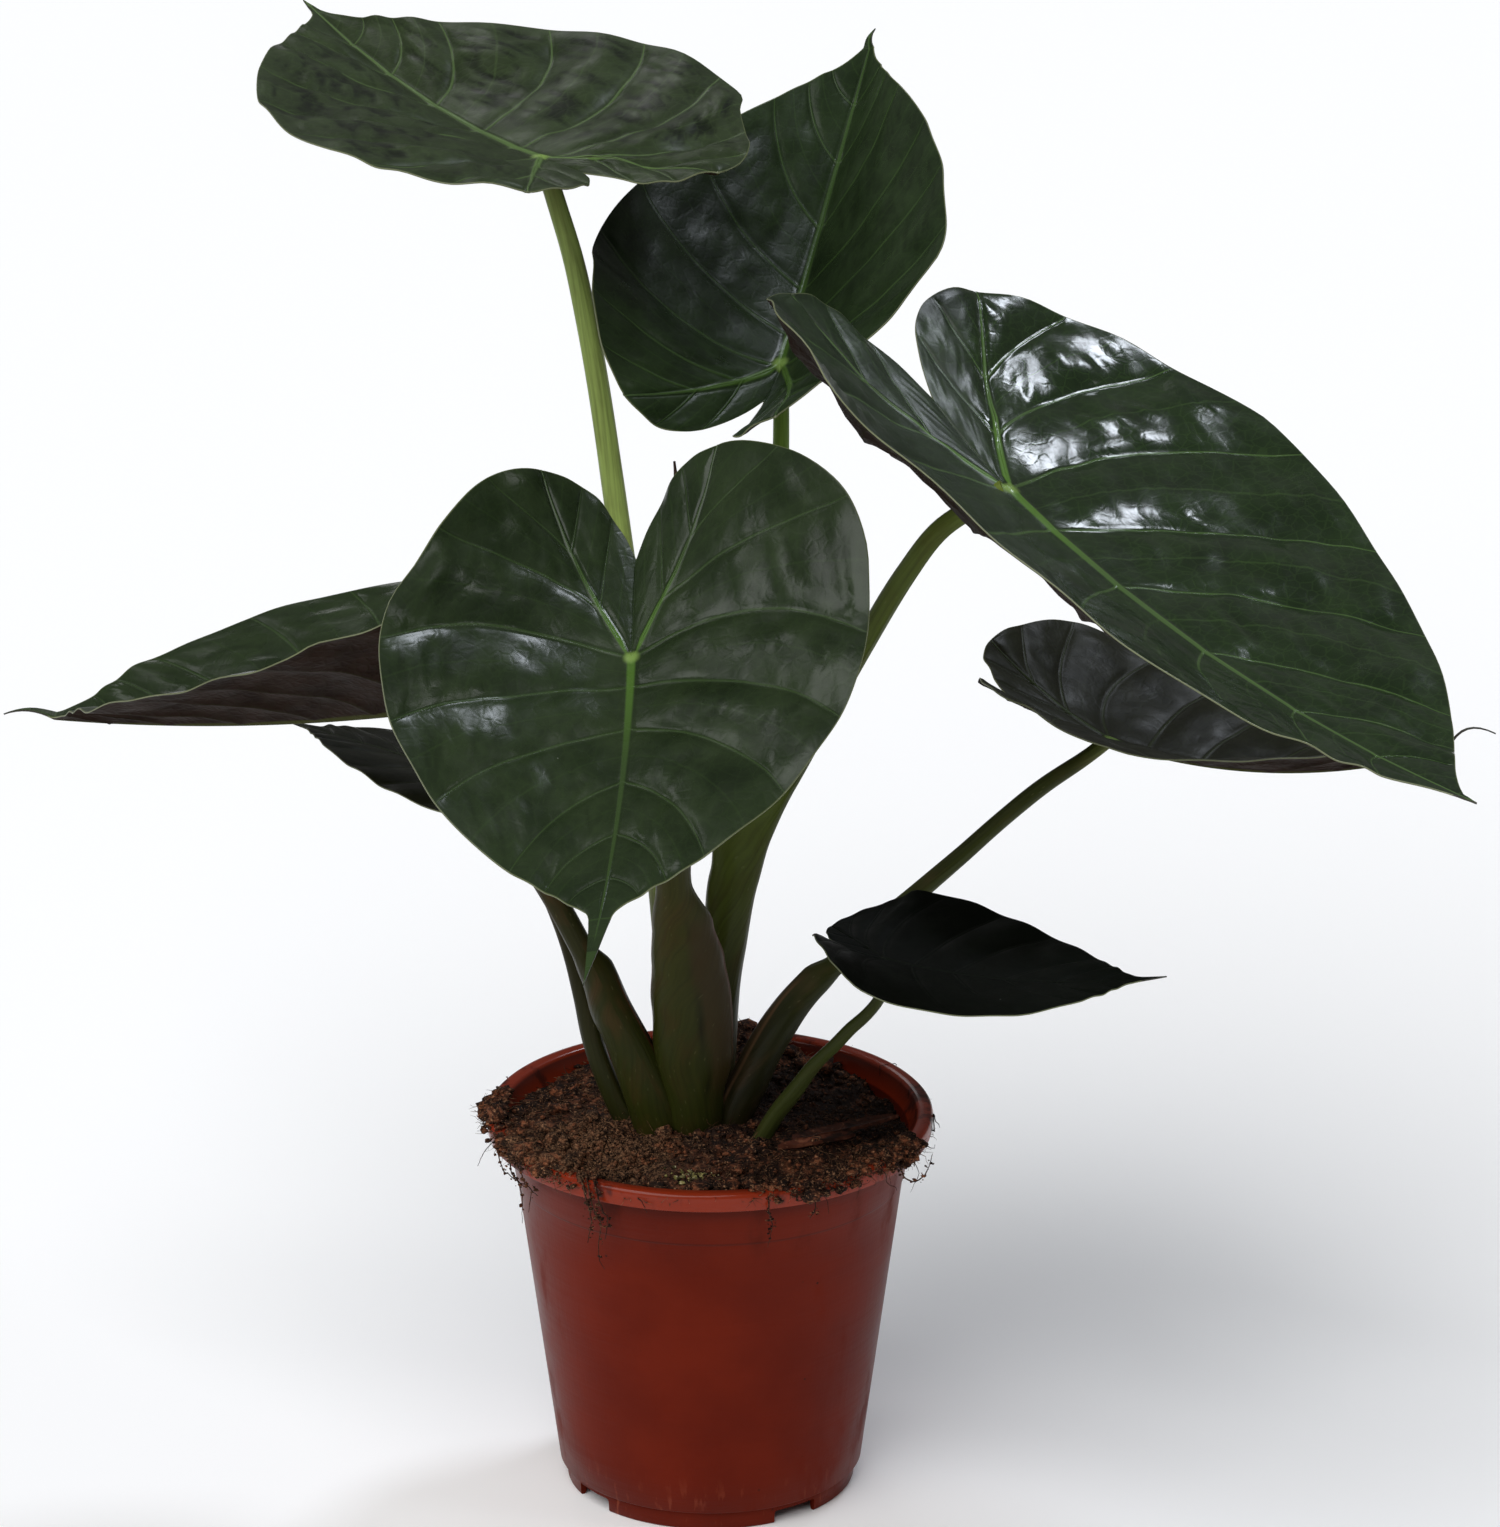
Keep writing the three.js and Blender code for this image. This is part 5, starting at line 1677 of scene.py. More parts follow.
@dataclass(frozen=True)
class SoilBed:
    """The root ball's lumpy top and its hidden sides, in millimetres.

    Attributes:
        edge_height, heap_height: Height of the soil at the wall, and how much higher the middle is.
        radius, low_radius: Its radius at the top and at the pot's floor.
        side_height, low: The height from which its sides slope down, and that of its underside.
        rings, sectors: How many rings its top has, and how many faces each.
        heaps: Its larger rises and dips.
        seed: Picks its small irregularities.
    """

    edge_height: float = 163.0
    heap_height: float = 9.0
    radius: float = 85.0
    low_radius: float = 63.0
    side_height: float = 158.0
    low: float = 11.5
    rings: int = 132
    sectors: int = 288
    heaps: tuple[Heap, ...] = (
        Heap(-62, -48, 30, 4.0),
        Heap(44, -66, 24, 5.0),
        Heap(-10, -74, 22, 1.5),
        Heap(62, 22, 42, -9.0),
        Heap(10, 74, 15, 12.0),
        Heap(-60, 40, 30, -4.0),
        Heap(28, 58, 20, 4.0),
    )
    seed: int = 41

    def height(self, x: Array, y: Array) -> Array:
        """Height of the soil's top.

        Args:
            x: Places to the right of the axis.
            y: Places behind it.

        Returns:
            The heights.
        """
        share = np.hypot(x, y) / self.radius
        lump = np.sin(x * 0.11 + 1.3) * np.sin(y * 0.13 + 0.4) + 0.6 * np.sin(x * 0.27 - y * 0.19)
        top = self.edge_height + self.heap_height * np.clip(1 - share**2, 0, 1) ** 1.2 + 1.4 * lump
        for heap in self.heaps:
            top = top + heap.height * np.exp(-(((x - heap.x) ** 2 + (y - heap.y) ** 2) / heap.radius**2))
        noise = NoiseField(self.seed)
        top = top + 1.3 * noise.layered(x / 9, y / 9, 0.5, 4)
        return top + 0.75 * noise.layered(x / 2.4, y / 2.4, 3.5, 2)

    def build(self, finish: SoilFinish) -> Piece:
        """Builds the bed.

        Args:
            finish: The peat.

        Returns:
            The finished piece, which replaces the packed soil.
        """
        angle = np.linspace(0, 2 * np.pi, self.sectors + 1)
        cos, sin = np.cos(angle), np.sin(angle)
        radius = self.radius * np.linspace(0, 1, self.rings)[:, None] ** 0.8
        x, y = radius * cos, radius * sin
        top = np.stack([x, y, self.height(x, y)], -1)
        top[0] = top[0, 0]
        sides = []
        for share in (0.12, 0.4, 0.75, 1.0):
            r = self.radius + (self.low_radius - self.radius) * share
            z = self.side_height + (self.low - self.side_height) * share
            sides.append(np.stack([r * cos, r * sin, np.full(len(angle), z)], -1))
        base = np.broadcast_to([0.0, 0.0, self.low], sides[0].shape)
        piece = sheet("soil_bed", placed(np.concatenate([top, sides, [base]])))
        with editing(piece):
            bpy.ops.mesh.remove_doubles(threshold=SAME_PLACE)
            turn_outwards()
        coat(piece, finish)
        smooth(piece)
        return hand_over(piece, "soil")


@dataclass(frozen=True)
class Arc:
    """A stretch of the pot's rim, by its middle and half its width in degrees anticlockwise from +X."""

    middle: float
    half: float


@dataclass(frozen=True)
class Patch:
    """Where bits lie thickly: its middle and its spread in millimetres, and how many bits there are."""

    x: float
    y: float
    spread_x: float
    spread_y: float
    count: int


@dataclass
class SoilDressing:
    """Crumbs, fibres, hanging roots and bark on the soil and over the rim, in millimetres.

    Attributes:
        bed: The soil.
        pot: The pot.
        seed: Picks their places.
        rim_flat: The radius at which the rim's top starts to round off.
        spill_from, spill_to: The radii between which peat lies on the soiled stretches.
        clear: How far above the soil a strand lies.
        waver, droop: How much a strand turns at each step, at random and down.
        wall_slope, off_wall: How fast the pot's wall draws in downwards, and how far off it a strand hangs.
        root_steps: How many places a hanging root has.
        bark_crease: Edges of the bark sharper than this, in degrees, stay sharp.
        strewn: How many clumps, crumbs and spilled bits there are, and the share of each on the rim.
        sand, moss: Where the sandy crumbs and the moss lie.
        spills: The stretches of the rim that are soiled.
    """

    bed: SoilBed
    pot: NurseryPot
    seed: int = 7
    rim_flat: float = 93.5
    spill_from: float = 82.0
    spill_to: float = 97.0
    clear: float = 0.5
    waver: float = 0.42
    droop: float = 0.1
    wall_slope: float = 0.13
    off_wall: float = 1.4
    root_steps: int = 26
    bark_crease: float = 50.0
    strewn: tuple[tuple[int, float], ...] = ((260, 0.4), (3000, 0.3), (900, 1.0))
    sand: Patch = Patch(-40, -42, 16, 11, 1800)
    moss: Patch = Patch(-7, -71, 5, 2.5, 60)
    spills: tuple[Arc, ...] = (
        Arc(-148, 26), Arc(-142, 18), Arc(-52, 27), Arc(-60, 14), Arc(-32, 10), Arc(178, 12),
    )

    def __post_init__(self) -> None:
        """Starts the random draws and the noise, and takes the pot's sizes in millimetres."""
        self.draw = np.random.default_rng(self.seed)
        self.noise = NoiseField(self.seed)
        sizes = (self.pot.height, self.pot.rim_radius, self.pot.rim_inner)
        self.top, self.rim, self.mouth = (size / MM for size in sizes)

    def seat(self, x: Array, y: Array) -> Array:
        """Height of what lies under a place: the soil or the rim.

        Args:
            x: Places to the right of the axis.
            y: Places behind it.

        Returns:
            The heights.
        """
        radius = np.hypot(x, y)
        rim = self.top - 0.5 * np.clip(radius - self.rim_flat, 0, 3) ** 2
        return np.where(radius < self.mouth - 1, self.bed.height(x, y), rim)

    def spots(self, count: int, spill_share: float) -> tuple[Array, Array]:
        """Random places on the soil, and some on the rim where it is soiled.

        Args:
            count: How many.
            spill_share: The share of them on the rim.

        Returns:
            Their x and y.
        """
        radius = self.bed.radius * np.sqrt(self.draw.uniform(0.02, 1.0, count))
        angle = self.draw.uniform(0, 2 * np.pi, count)
        spilled = self.draw.uniform(size=count) < spill_share
        arc = self.draw.integers(len(self.spills), size=count)
        middle, half = np.array([(a.middle, a.half) for a in self.spills])[arc].T
        rim_angle = np.radians(middle + half * np.clip(self.draw.normal(0, 0.5, count), -1, 1))
        angle = np.where(spilled, rim_angle, angle)
        radius = np.where(spilled, self.draw.uniform(self.spill_from, self.spill_to, count), radius)
        return radius * np.cos(angle), radius * np.sin(angle)

    def within(self, patch: Patch) -> tuple[Array, Array]:
        """Random places in a patch, as their x and y."""
        x = self.draw.normal(patch.x, patch.spread_x, patch.count)
        return x, self.draw.normal(patch.y, patch.spread_y, patch.count)

    def seated(self, spots: tuple[Array, Array], lift: float = 0.0) -> Array:
        """Places on the soil or the rim, one row of x, y, z for each spot."""
        return np.stack([*spots, self.seat(*spots) + lift], -1)

    def crumbs(
        self, name: str, seats: Array, size: tuple[float, float], finish: SoilFinish, fineness: int = 1,
    ) -> Piece:
        """Rough lumps strewn over the soil.

        Args:
            name: The piece's name.
            seats: What they lie on.
            size: The smallest and largest radius.
            finish: Their material.
            fineness: How finely each is faceted.

        Returns:
            The piece.
        """
        template = added("crumb", bpy.ops.mesh.primitive_ico_sphere_add, subdivisions=fineness, radius=1)
        ball, count = vertices_of(template), len(seats)
        faces = [face.vertices[:] for face in template.data.polygons]
        bpy.data.objects.remove(template)
        radius = size[0] + (size[1] - size[0]) * self.draw.uniform(size=count) ** 2.2
        stretch = self.draw.uniform(0.6, 1.35, (count, 1, 3))
        stretch[..., 2] *= 0.75
        offset = self.draw.uniform(0, 50, (count, 1))
        lump = ball[None] * stretch
        x, y, z = np.moveaxis(lump * 2.1, -1, 0)
        lump = lump * (1 + 0.75 * self.noise.layered(x + offset, y, z, 2)[..., None])
        turn = self.draw.uniform(0, 2 * np.pi, (count, 1))
        x, y, z = np.moveaxis(lump, -1, 0)
        lump = np.stack([x * np.cos(turn) - y * np.sin(turn), x * np.sin(turn) + y * np.cos(turn), z], -1)
        centre = seats + 0.3 * radius[:, None] * np.array([0.0, 0.0, 1.0])
        piece = repeated(name, faces, placed(centre[:, None] + lump * radius[:, None, None]))
        coat(piece, finish)
        return hand_over(piece)

    def tubes(self, name: str, line: Array, thickness: Array, finish: SoilFinish, sides: int = 4) -> Piece:
        """Thin closed tubes that taper along given lines.

        Args:
            name: The piece's name.
            line: Tubes, steps and x, y, z.
            thickness: Their radii at the start.
            finish: Their material.
            sides: Sides round each, an even number.

        Returns:
            The piece.
        """
        steps = line.shape[1]
        tangent = unit(np.gradient(line, axis=1))
        side = unit(np.cross(tangent, np.array([0.31, 0.2, 0.93])))
        other = np.cross(tangent, side)
        angle = np.arange(sides)[:, None] / sides * 2 * np.pi
        taper = np.linspace(1, 0.3, steps)[None, :, None, None] * thickness[:, None, None, None]
        ring = side[:, :, None] * np.cos(angle) + other[:, :, None] * np.sin(angle)
        places = line[:, :, None] + ring * taper
        faces = []
        for k in range(0, (steps - 1) * sides, sides):
            for i in range(sides):
                j = (i + 1) % sides
                faces.append((k + i, k + j, k + sides + j, k + sides + i))
        last = (steps - 1) * sides
        for i in range(0, sides - 2, 2):
            faces.append((i + 3, i + 2, i + 1, 0))
            faces.append((last, last + i + 1, last + i + 2, last + i + 3))
        piece = repeated(name, faces, placed(places.reshape(len(line), steps * sides, 3)))
        coat(piece, finish)
        return hand_over(piece)

    def wandering(self, starts: Array, headings: Array, lengths: Array, steps: int) -> Array:
        """Random lines over the soil and down the pot's outside.

        Args:
            starts: Where each starts.
            headings: The way each sets out, as vectors.
            lengths: Their lengths.
            steps: How many places each has.

        Returns:
            Lines, steps and x, y, z.
        """
        found, way = [starts], headings
        for _ in range(1, steps):
            turn = self.draw.normal(0, self.waver, (len(starts), 3))
            way = unit(way + turn + np.array([0, 0, -self.droop]))
            step = found[-1] + way * (lengths / (steps - 1))[:, None]
            outside = np.hypot(step[:, 0], step[:, 1])
            wall = self.pot.wall_top / MM - (self.top - step[:, 2]) * self.wall_slope + self.off_wall
            wall = np.where(step[:, 2] > self.top - 9, self.rim + 0.5, wall)
            hanging = (step[:, 2] < self.top - 0.5) & (outside > self.mouth - 6)
            step[:, :2] *= np.where(hanging & (outside < wall), wall / np.maximum(outside, 1), 1.0)[:, None]
            floor = self.seat(step[:, 0], step[:, 1]) + self.clear
            on_soil = np.hypot(step[:, 0], step[:, 1]) < self.rim
            step[:, 2] = np.where(on_soil, np.maximum(step[:, 2], floor), step[:, 2])
            found.append(step)
        return np.stack(found, 1)

    def routed(self, routes: Sequence[Sequence[Place]]) -> Array:
        """Wavering lines along given routes.

        Args:
            routes: Each root's points.

        Returns:
            Roots, steps and x, y, z.
        """
        shares = np.linspace(0, 1, self.root_steps)
        lines = np.stack([line_through(route, shares) for route in routes])
        x, z = lines[..., 0] / 4, lines[..., 2] / 4
        wobble = np.stack([self.noise(z + k * 7, x, k * 3.0) for k in range(3)], -1)
        return lines + 0.7 * wobble * smoothstep(0, 0.15, shares)[None, :, None]

    def clinging(self, lines: Array, count: int, spread: float) -> Array:
        """Random places beside hanging roots.

        Args:
            lines: The roots' lines.
            count: How many places.
            spread: How far off they lie.

        Returns:
            One row of x, y, z for each place.
        """
        root = self.draw.integers(len(lines), size=count)
        step = (self.draw.uniform(size=count) ** 1.6 * 0.9 * lines.shape[1]).astype(int)
        return lines[root, step] + self.draw.normal(0, spread, (count, 3))

    def chip(self, name: str, start: Place, end: Place, width: float, finish: SoilFinish) -> Piece:
        """A flat splinter of bark.

        Args:
            name: The piece's name.
            start: The middle of one end.
            end: The middle of the other end.
            width: How wide it is.
            finish: Its material.

        Returns:
            The piece.
        """
        piece = added(name, bpy.ops.mesh.primitive_cube_add, size=1)
        with editing(piece):
            bpy.ops.mesh.subdivide(number_cuts=15)
        clear_uv(piece)
        u, v, w = vertices_of(piece).T
        ends = np.array([start, end], float)
        length = np.linalg.norm(ends[1] - ends[0])
        along = (ends[1] - ends[0]) / length
        across = unit(np.cross([0.0, 0.1, 1.0], along))
        up = np.cross(along, across)
        a, b = u * length, v * width
        ragged = self.noise(a / 3.0, np.sign(b) * 4.0, 0.5) * 1.2
        ragged = ragged + self.noise(b / 0.9, np.sign(a) * 5.0, 9.5) * 0.4
        b = b * (1 - 0.55 * np.abs(u * 2) ** 4) + ragged * (2 * np.abs(v)) ** 2
        a = a + 2.4 * self.noise(b / 1.3, np.sign(a) * 3.0, 2.5) * (2 * np.abs(u)) ** 6
        c = 1.5 * w + 0.5 * self.noise(a / 9, b / 1.4, 4.5) + 1.1 * (v * 2) ** 2
        middle = (ends[0] + ends[1]) / 2
        set_vertices(piece, placed(middle + a[:, None] * along + b[:, None] * across + c[:, None] * up))
        smooth(piece, self.bark_crease)
        coat(piece, finish)
        return hand_over(piece)

    def build(self) -> list[Piece]:
        """Builds the bed of soil and all that lies on it.

        Returns:
            The pieces.
        """
        draw, hanging = self.draw, self.routed(HANGING_ROOTS)
        clumps, crumbs, spilled = (self.seated(self.spots(*some)) for some in self.strewn)
        sand = self.seated(self.within(self.sand))
        sand = sand[np.hypot(sand[:, 0], sand[:, 1]) < self.spill_from]
        moss = self.seated(self.within(self.moss), 0.3)
        pieces = [
            self.bed.build(PEAT),
            self.crumbs("peat_clumps", clumps, (1.2, 4.4), PEAT_CRUMB, 2),
            self.crumbs("peat_crumbs", crumbs, (0.4, 1.8), PEAT_CRUMB),
            self.crumbs("clinging_peat", self.clinging(hanging, 420, 0.9), (0.3, 1.1), PEAT_CRUMB),
            self.crumbs("spilled_peat", spilled, (0.5, 2.6), PEAT_CRUMB),
            self.crumbs("sandy_crumbs", sand, (0.3, 1.5), PEAT_CRUMB),
            self.crumbs("moss_bits", moss, (0.5, 1.5), MOSS),
            self.tubes("hanging_roots", hanging, draw.uniform(0.3, 0.55, len(hanging)), ROOT, 6),
        ]
        for name, count, share, lengths, thickness, steps, finish in (
            ("peat_fibres", 3300, 0.24, (2.5, 9), (0.09, 0.24), 5, FIBRE),
            ("peat_roots", 110, 0.12, (10, 24), (0.2, 0.42), 12, ROOT),
        ):
            starts = self.seated(self.spots(count, share), 0.8)
            angle = draw.uniform(0, 2 * np.pi, count)
            headings = np.stack([np.cos(angle), np.sin(angle), draw.uniform(-0.1, 0.5, count)], -1)
            length, radius = draw.uniform(*lengths, count), draw.uniform(*thickness, count)
            pieces.append(self.tubes(name, self.wandering(starts, headings, length, steps), radius, finish))
        for number, chip in enumerate(BARK_CHIPS):
            pieces.append(self.chip(f"bark_chip_{number + 1}", *chip, BARK))
        return pieces


# Studio


@dataclass(frozen=True)
class SoftLight:
    """A broad lamp so far off that it lights the whole studio evenly.

    Attributes:
        bearing, elevation: The way to it, in degrees clockwise from straight behind the plant and upwards.
        spread: How broad it looks, in degrees.
        strength: Its power on a square metre.
        height: How high above the floor its symbol hangs, in metres.
    """

    name: str
    bearing: float
    elevation: float
    spread: float
    strength: float
    tint: Tint = (255, 255, 255)
    height: float = 3.0

    def build(self) -> None:
        """Hangs the light."""
        place = PLANT_ORIGIN + np.array([0.0, 0.0, self.height])
        lamp = added(self.name, bpy.ops.object.light_add, type="SUN", location=place)
        lamp.data.angle = math.radians(self.spread)
        lamp.data.energy = self.strength
        lamp.data.color = linear(self.tint)[:3]
        bearing, elevation = math.radians(self.bearing), math.radians(self.elevation)
        level = math.cos(elevation)
        toward = Vector((math.sin(bearing) * level, math.cos(bearing) * level, math.sin(elevation)))
        lamp.rotation_euler = toward.to_track_quat("Z", "Y").to_euler()


@dataclass(frozen=True)
class Studio:
    """The pale floor, the soft lights and the camera.

    Attributes:
        camera_place: The camera, in metres from the pot's axis at the floor.
        pitch_degrees: How far it looks down.
        focal_pixels, image_height: Its focal length and the photograph's height, in pixels.
        sensor, sight: The camera's sensor in millimetres, and how far it sees in metres.
        floor_size: The floor's width, in metres.
        world_tint, world_strength: The colour and strength of the light from all sides.
    """

    camera_place: Place = (0.017, -2.6, 1.226)
    pitch_degrees: float = 19.15
    focal_pixels: float = 6590.0
    image_height: int = 1527
    sensor: float = 36.0
    sight: float = 100.0
    floor_size: float = 60.0
    world_tint: Tint = (248, 247, 246)
    world_strength: float = 0.13
    lights: tuple[SoftLight, ...] = (
        SoftLight("key_light", -150, 50, 56, 2.55),
        SoftLight("window_light", 42, 56, 12, 0.8, (236, 243, 255)),
        SoftLight("side_light", -76, 50, 12, 0.12),
        SoftLight("right_light", 109, 40, 10, 0.14),
        SoftLight("back_light", -16, 30, 13, 0.1),
    )

    def build(self) -> None:
        """Sets up the whole studio."""
        plane = bpy.ops.mesh.primitive_plane_add
        floor = added("studio_floor", plane, size=self.floor_size, location=(*PLANT_ORIGIN[:2], 0))
        coat(floor, FloorFinish())
        for light in self.lights:
            light.build()
        world = bpy.data.worlds.new("studio_air")
        world.use_nodes = True
        air = world.node_tree.nodes["Background"].inputs
        air["Color"].default_value = linear(self.world_tint)
        air["Strength"].default_value = self.world_strength
        camera = added(
            "photo_camera", bpy.ops.object.camera_add,
            location=PLANT_ORIGIN + np.array(self.camera_place),
            rotation=(math.radians(90 - self.pitch_degrees), 0, 0),
        )
        camera.data.sensor_width = self.sensor
        camera.data.lens = self.focal_pixels * self.sensor / self.image_height
        camera.data.clip_end = self.sight
        scene = bpy.context.scene
        scene.world = world
        scene.camera = camera
        scene.view_settings.view_transform = "Standard"


# The plant's own leaves


class Leaf(Enum):
    """The leaves, named by where they stand."""

    TOP_LEFT = "top_left"
    TOP_MIDDLE = "top_middle"
    FRONT = "front"
    RIGHT = "right"
    LEFT = "left"
    LEFT_LOWER = "left_lower"
    RIGHT_LOWER = "right_lower"
    RIGHT_SMALL = "right_small"


BLADES: dict[Leaf, BladeShape] = {
    Leaf.TOP_LEFT: BladeShape(
        (-69, 42, 572), 117, -4, 2, 220, 15, 2.9, 40, -17, 0, 3, 1, -2, 10, -5, 2.4, 2.2,
        HalfBlade(103, 83, 0.05, -0.03, 8, 0), HalfBlade(94, 81, 0.14, -0.14, 9, -9), 11, 1.6, 1.4, 1.6,
    ),
    Leaf.TOP_MIDDLE: BladeShape(
        (30, 54, 480), 79, 21, -4, 188, 11, 2.8, 25, -22, 6, -7, -36, -9, -1, 4, 2.2, 1.8,
        HalfBlade(94, 71, 0.01, -0.02, 34, -12), HalfBlade(94, 71, 0.05, -0.23, 38, 0),
        12, 0.7, 0.5, 0.6, (1.2, 0.5),
    ),
    Leaf.FRONT: BladeShape(
        (-30, -114, 407), -91, -30, 14, 141, 38, 4.5, 52, -8, 5, -5, -3, 0, -14, 23, 2.2, 1.6,
        HalfBlade(101, 87, 0.01, 0.06, 8, 2), HalfBlade(102, 83, 0.09, -0.1, 12, -39), 13, 1.0, 1.5, 1.3,
    ),
    Leaf.RIGHT: BladeShape(
        (121, -68, 463), -56, -19, -3, 279, 11, 2.8, 59, -17, 24, 2, 1, 4, 4, -3, 3.4, 2.4,
        HalfBlade(130, 115, -0.04, -0.03, -2, -19), HalfBlade(128, 110, -0.01, 0.11, 9, -45),
        14, 0.9, 2.1, 1.4,
    ),
    Leaf.LEFT: BladeShape(
        (-120, -11, 351), 153, -15, 4, 183, 26, 3.1, 42, -10, 10, 1, 1, -12, 3, 1, 2.6, 2.2,
        HalfBlade(93, 85, -0.1, 0.01, 32, 13), HalfBlade(93, 85, -0.02, 0, 31, 10),
        15, 0.8, 0.9, 1.0, (0.0, 2.5),
    ),
    Leaf.LEFT_LOWER: BladeShape(
        (-95, 46, 299), 157, 10, 5, 89, 9, 2.1, 19, 3, 10, -3, -1, 1, -1, 0, 1.3, 1.1,
        HalfBlade(46, 34, 0, 0, 5, 16), HalfBlade(46, 34, 0, 0, 6, 13), 16, 0.6, 0.6,
    ),
    Leaf.RIGHT_LOWER: BladeShape(
        (171, 59, 313), -5, -18, -6, 145, 22, 1.5, 46, -35, 12, 1, 0, -2, 12, 1, 1.8, 1.4,
        HalfBlade(76, 65, 0, 0.06, 15, -11), HalfBlade(75, 65, 0.02, -0.02, 15, 9),
        17, 0.7, 0.7, 1.0, (0.0, 6.0),
    ),
    Leaf.RIGHT_SMALL: BladeShape(
        (73, -56, 257), -15, -9, -10, 107, 11, 2, 19, -19, 7, 1, 0, 13, -8, 2, 1.4, 1.2,
        HalfBlade(56, 30, 0.03, -0.06, 9, -25), HalfBlade(55, 29, 0.02, -0.04, 8, 20), 18, 0.5, 0.4,
    ),
}

STALKS: dict[Leaf, StalkShape] = {
    Leaf.TOP_LEFT: StalkShape(
        ((-11, -2, 150), (-11, -2, 177), (-13, -1, 218), (-18, 2, 266), (-24, 7, 322), (-32, 15, 381),
         (-39, 26, 430), (-45, 36, 470), (-50, 41, 499), (-56, 42, 529), (-63, 42, 554), (-69, 42, 574)),
        20,
        (Section(0, 12, 12, 11, 2), Section(0.12, 11, 11, 9, -2), Section(0.3, 8.5, 8.5, 7.5, 1),
         Section(0.42, 5.6, 5.6, 5.6, 5), Section(0.8, 4.6, 4.6, 4.6, 4.6), Section(1, 3.9, 3.9, 3.9, 3.9)),
    ),
    Leaf.TOP_MIDDLE: StalkShape(
        ((3, 19, 150), (4, 19, 178), (8, 19, 223), (14, 20, 267), (20, 23, 309), (26, 30, 359), (29, 40, 408),
         (30, 49, 449), (30, 54, 482)),
        250,
        (Section(0, 7, 7, 6, 3), Section(0.35, 4.6, 4.6, 4.6, 4), Section(0.8, 3.6, 3.6, 3.6, 3.6),
         Section(1, 3.3, 3.3, 3.3, 3.3)),
    ),
    Leaf.FRONT: StalkShape(
        ((-7, -21, 150), (-8, -23, 180), (-10, -26, 210), (-14, -33, 250), (-15, -46, 285), (-18, -66, 332),
         (-24, -90, 376), (-29, -109, 402), (-30, -115, 409)),
        90,
        (Section(0, 12, 12, 12, -1), Section(0.11, 13, 14, 13, -5), Section(0.19, 14.5, 19.5, 13, -6),
         Section(0.28, 12.5, 21, 12, -6), Section(0.35, 10, 20, 10, -4), Section(0.42, 9, 16, 8, -1),
         Section(0.5, 6.8, 8, 6.3, 5), Section(0.8, 5, 5, 5, 5), Section(1, 4.2, 4.2, 4.2, 4.2)),
    ),
    Leaf.RIGHT: StalkShape(
        ((-2, 4, 150), (-2, 4, 175), (1, 3, 215), (5, 1, 242), (12, -4, 271), (20, -12, 298), (34, -22, 328),
         (48, -32, 358), (62, -42, 387), (80, -54, 423), (94, -63, 445), (111, -67, 458), (122, -68, 465)),
        180,
        (Section(0, 10, 10, 11, 6), Section(0.12, 11, 11, 12, 8), Section(0.25, 10, 10, 10.5, 8),
         Section(0.35, 7, 7, 8, 13), Section(0.42, 5.6, 5.6, 7, 17.5), Section(0.5, 5.4, 5.4, 5.6, 5.4),
         Section(0.75, 4.6, 4.6, 4.6, 4.6),
         Section(1, 4, 4, 4, 4)),
    ),
    Leaf.LEFT: StalkShape(
        ((-18, -23, 150), (-22, -24, 177), (-31, -25, 202), (-42, -25, 225), (-53, -24, 249), (-66, -23, 274),
         (-87, -20, 307), (-107, -15, 337), (-117, -11, 349), (-121, -10, 354)),
        15,
        (Section(0, 9, 10, 12, 9), Section(0.13, 10, 11, 12, 10), Section(0.32, 9, 10, 9, 8.5),
         Section(0.41, 7, 8, 6, 9), Section(0.46, 5, 5, 5, 5), Section(1, 3.8, 3.8, 3.8, 3.8)),
        52, 0.44,
    ),
    Leaf.LEFT_LOWER: StalkShape(
        ((-29, -15, 150), (-33, -15, 167), (-40, -14, 182), (-47, -12, 201), (-52, -9, 221), (-57, -5, 237),
         (-62, 0, 250), (-70, 10, 266), (-84, 28, 285), (-93, 42, 296), (-96, 47, 301)),
        10,
        (Section(0, 6, 6, 7, 3), Section(0.3, 5, 5, 6, 3), Section(0.6, 3.4, 3.4, 3.4, 3.4),
         Section(1, 2.6, 2.6, 2.6, 2.6)),
    ),
    Leaf.RIGHT_LOWER: StalkShape(
        ((6, -17, 150), (9, -18, 172), (18, -14, 189), (28, -9, 205), (38, -3, 218), (51, 3, 230),
        (72, 14, 246),
         (89, 23, 258), (106, 32, 270), (126, 42, 285), (142, 49, 296), (161, 56, 307), (172, 59, 315)),
        180,
        (Section(0, 10, 9, 10, 6), Section(0.12, 10, 9, 9, 8), Section(0.24, 8, 8, 6.5, 9),
         Section(0.35, 6, 6, 5.5, 8), Section(0.4, 4.4, 4.4, 4.4, 4.4), Section(0.8, 3.6, 3.6, 3.6, 3.6),
         Section(1, 3.1, 3.1, 3.1, 3.1)),
        134, 0.38,
    ),
    Leaf.RIGHT_SMALL: StalkShape(
        ((15, -32, 150), (21, -32, 167), (28, -33, 180), (35, -35, 190), (43, -38, 202), (52, -42, 213),
         (59, -45, 222), (66, -48, 230), (71, -52, 239), (73, -55, 250), (73, -56, 259)),
        165,
        (Section(0, 5, 5, 5, 3), Section(0.3, 4.6, 4.6, 4.4, 3), Section(0.55, 2.8, 2.8, 2.8, 2.8),
         Section(1, 2.2, 2.2, 2.2, 2.2)),
    ),
}

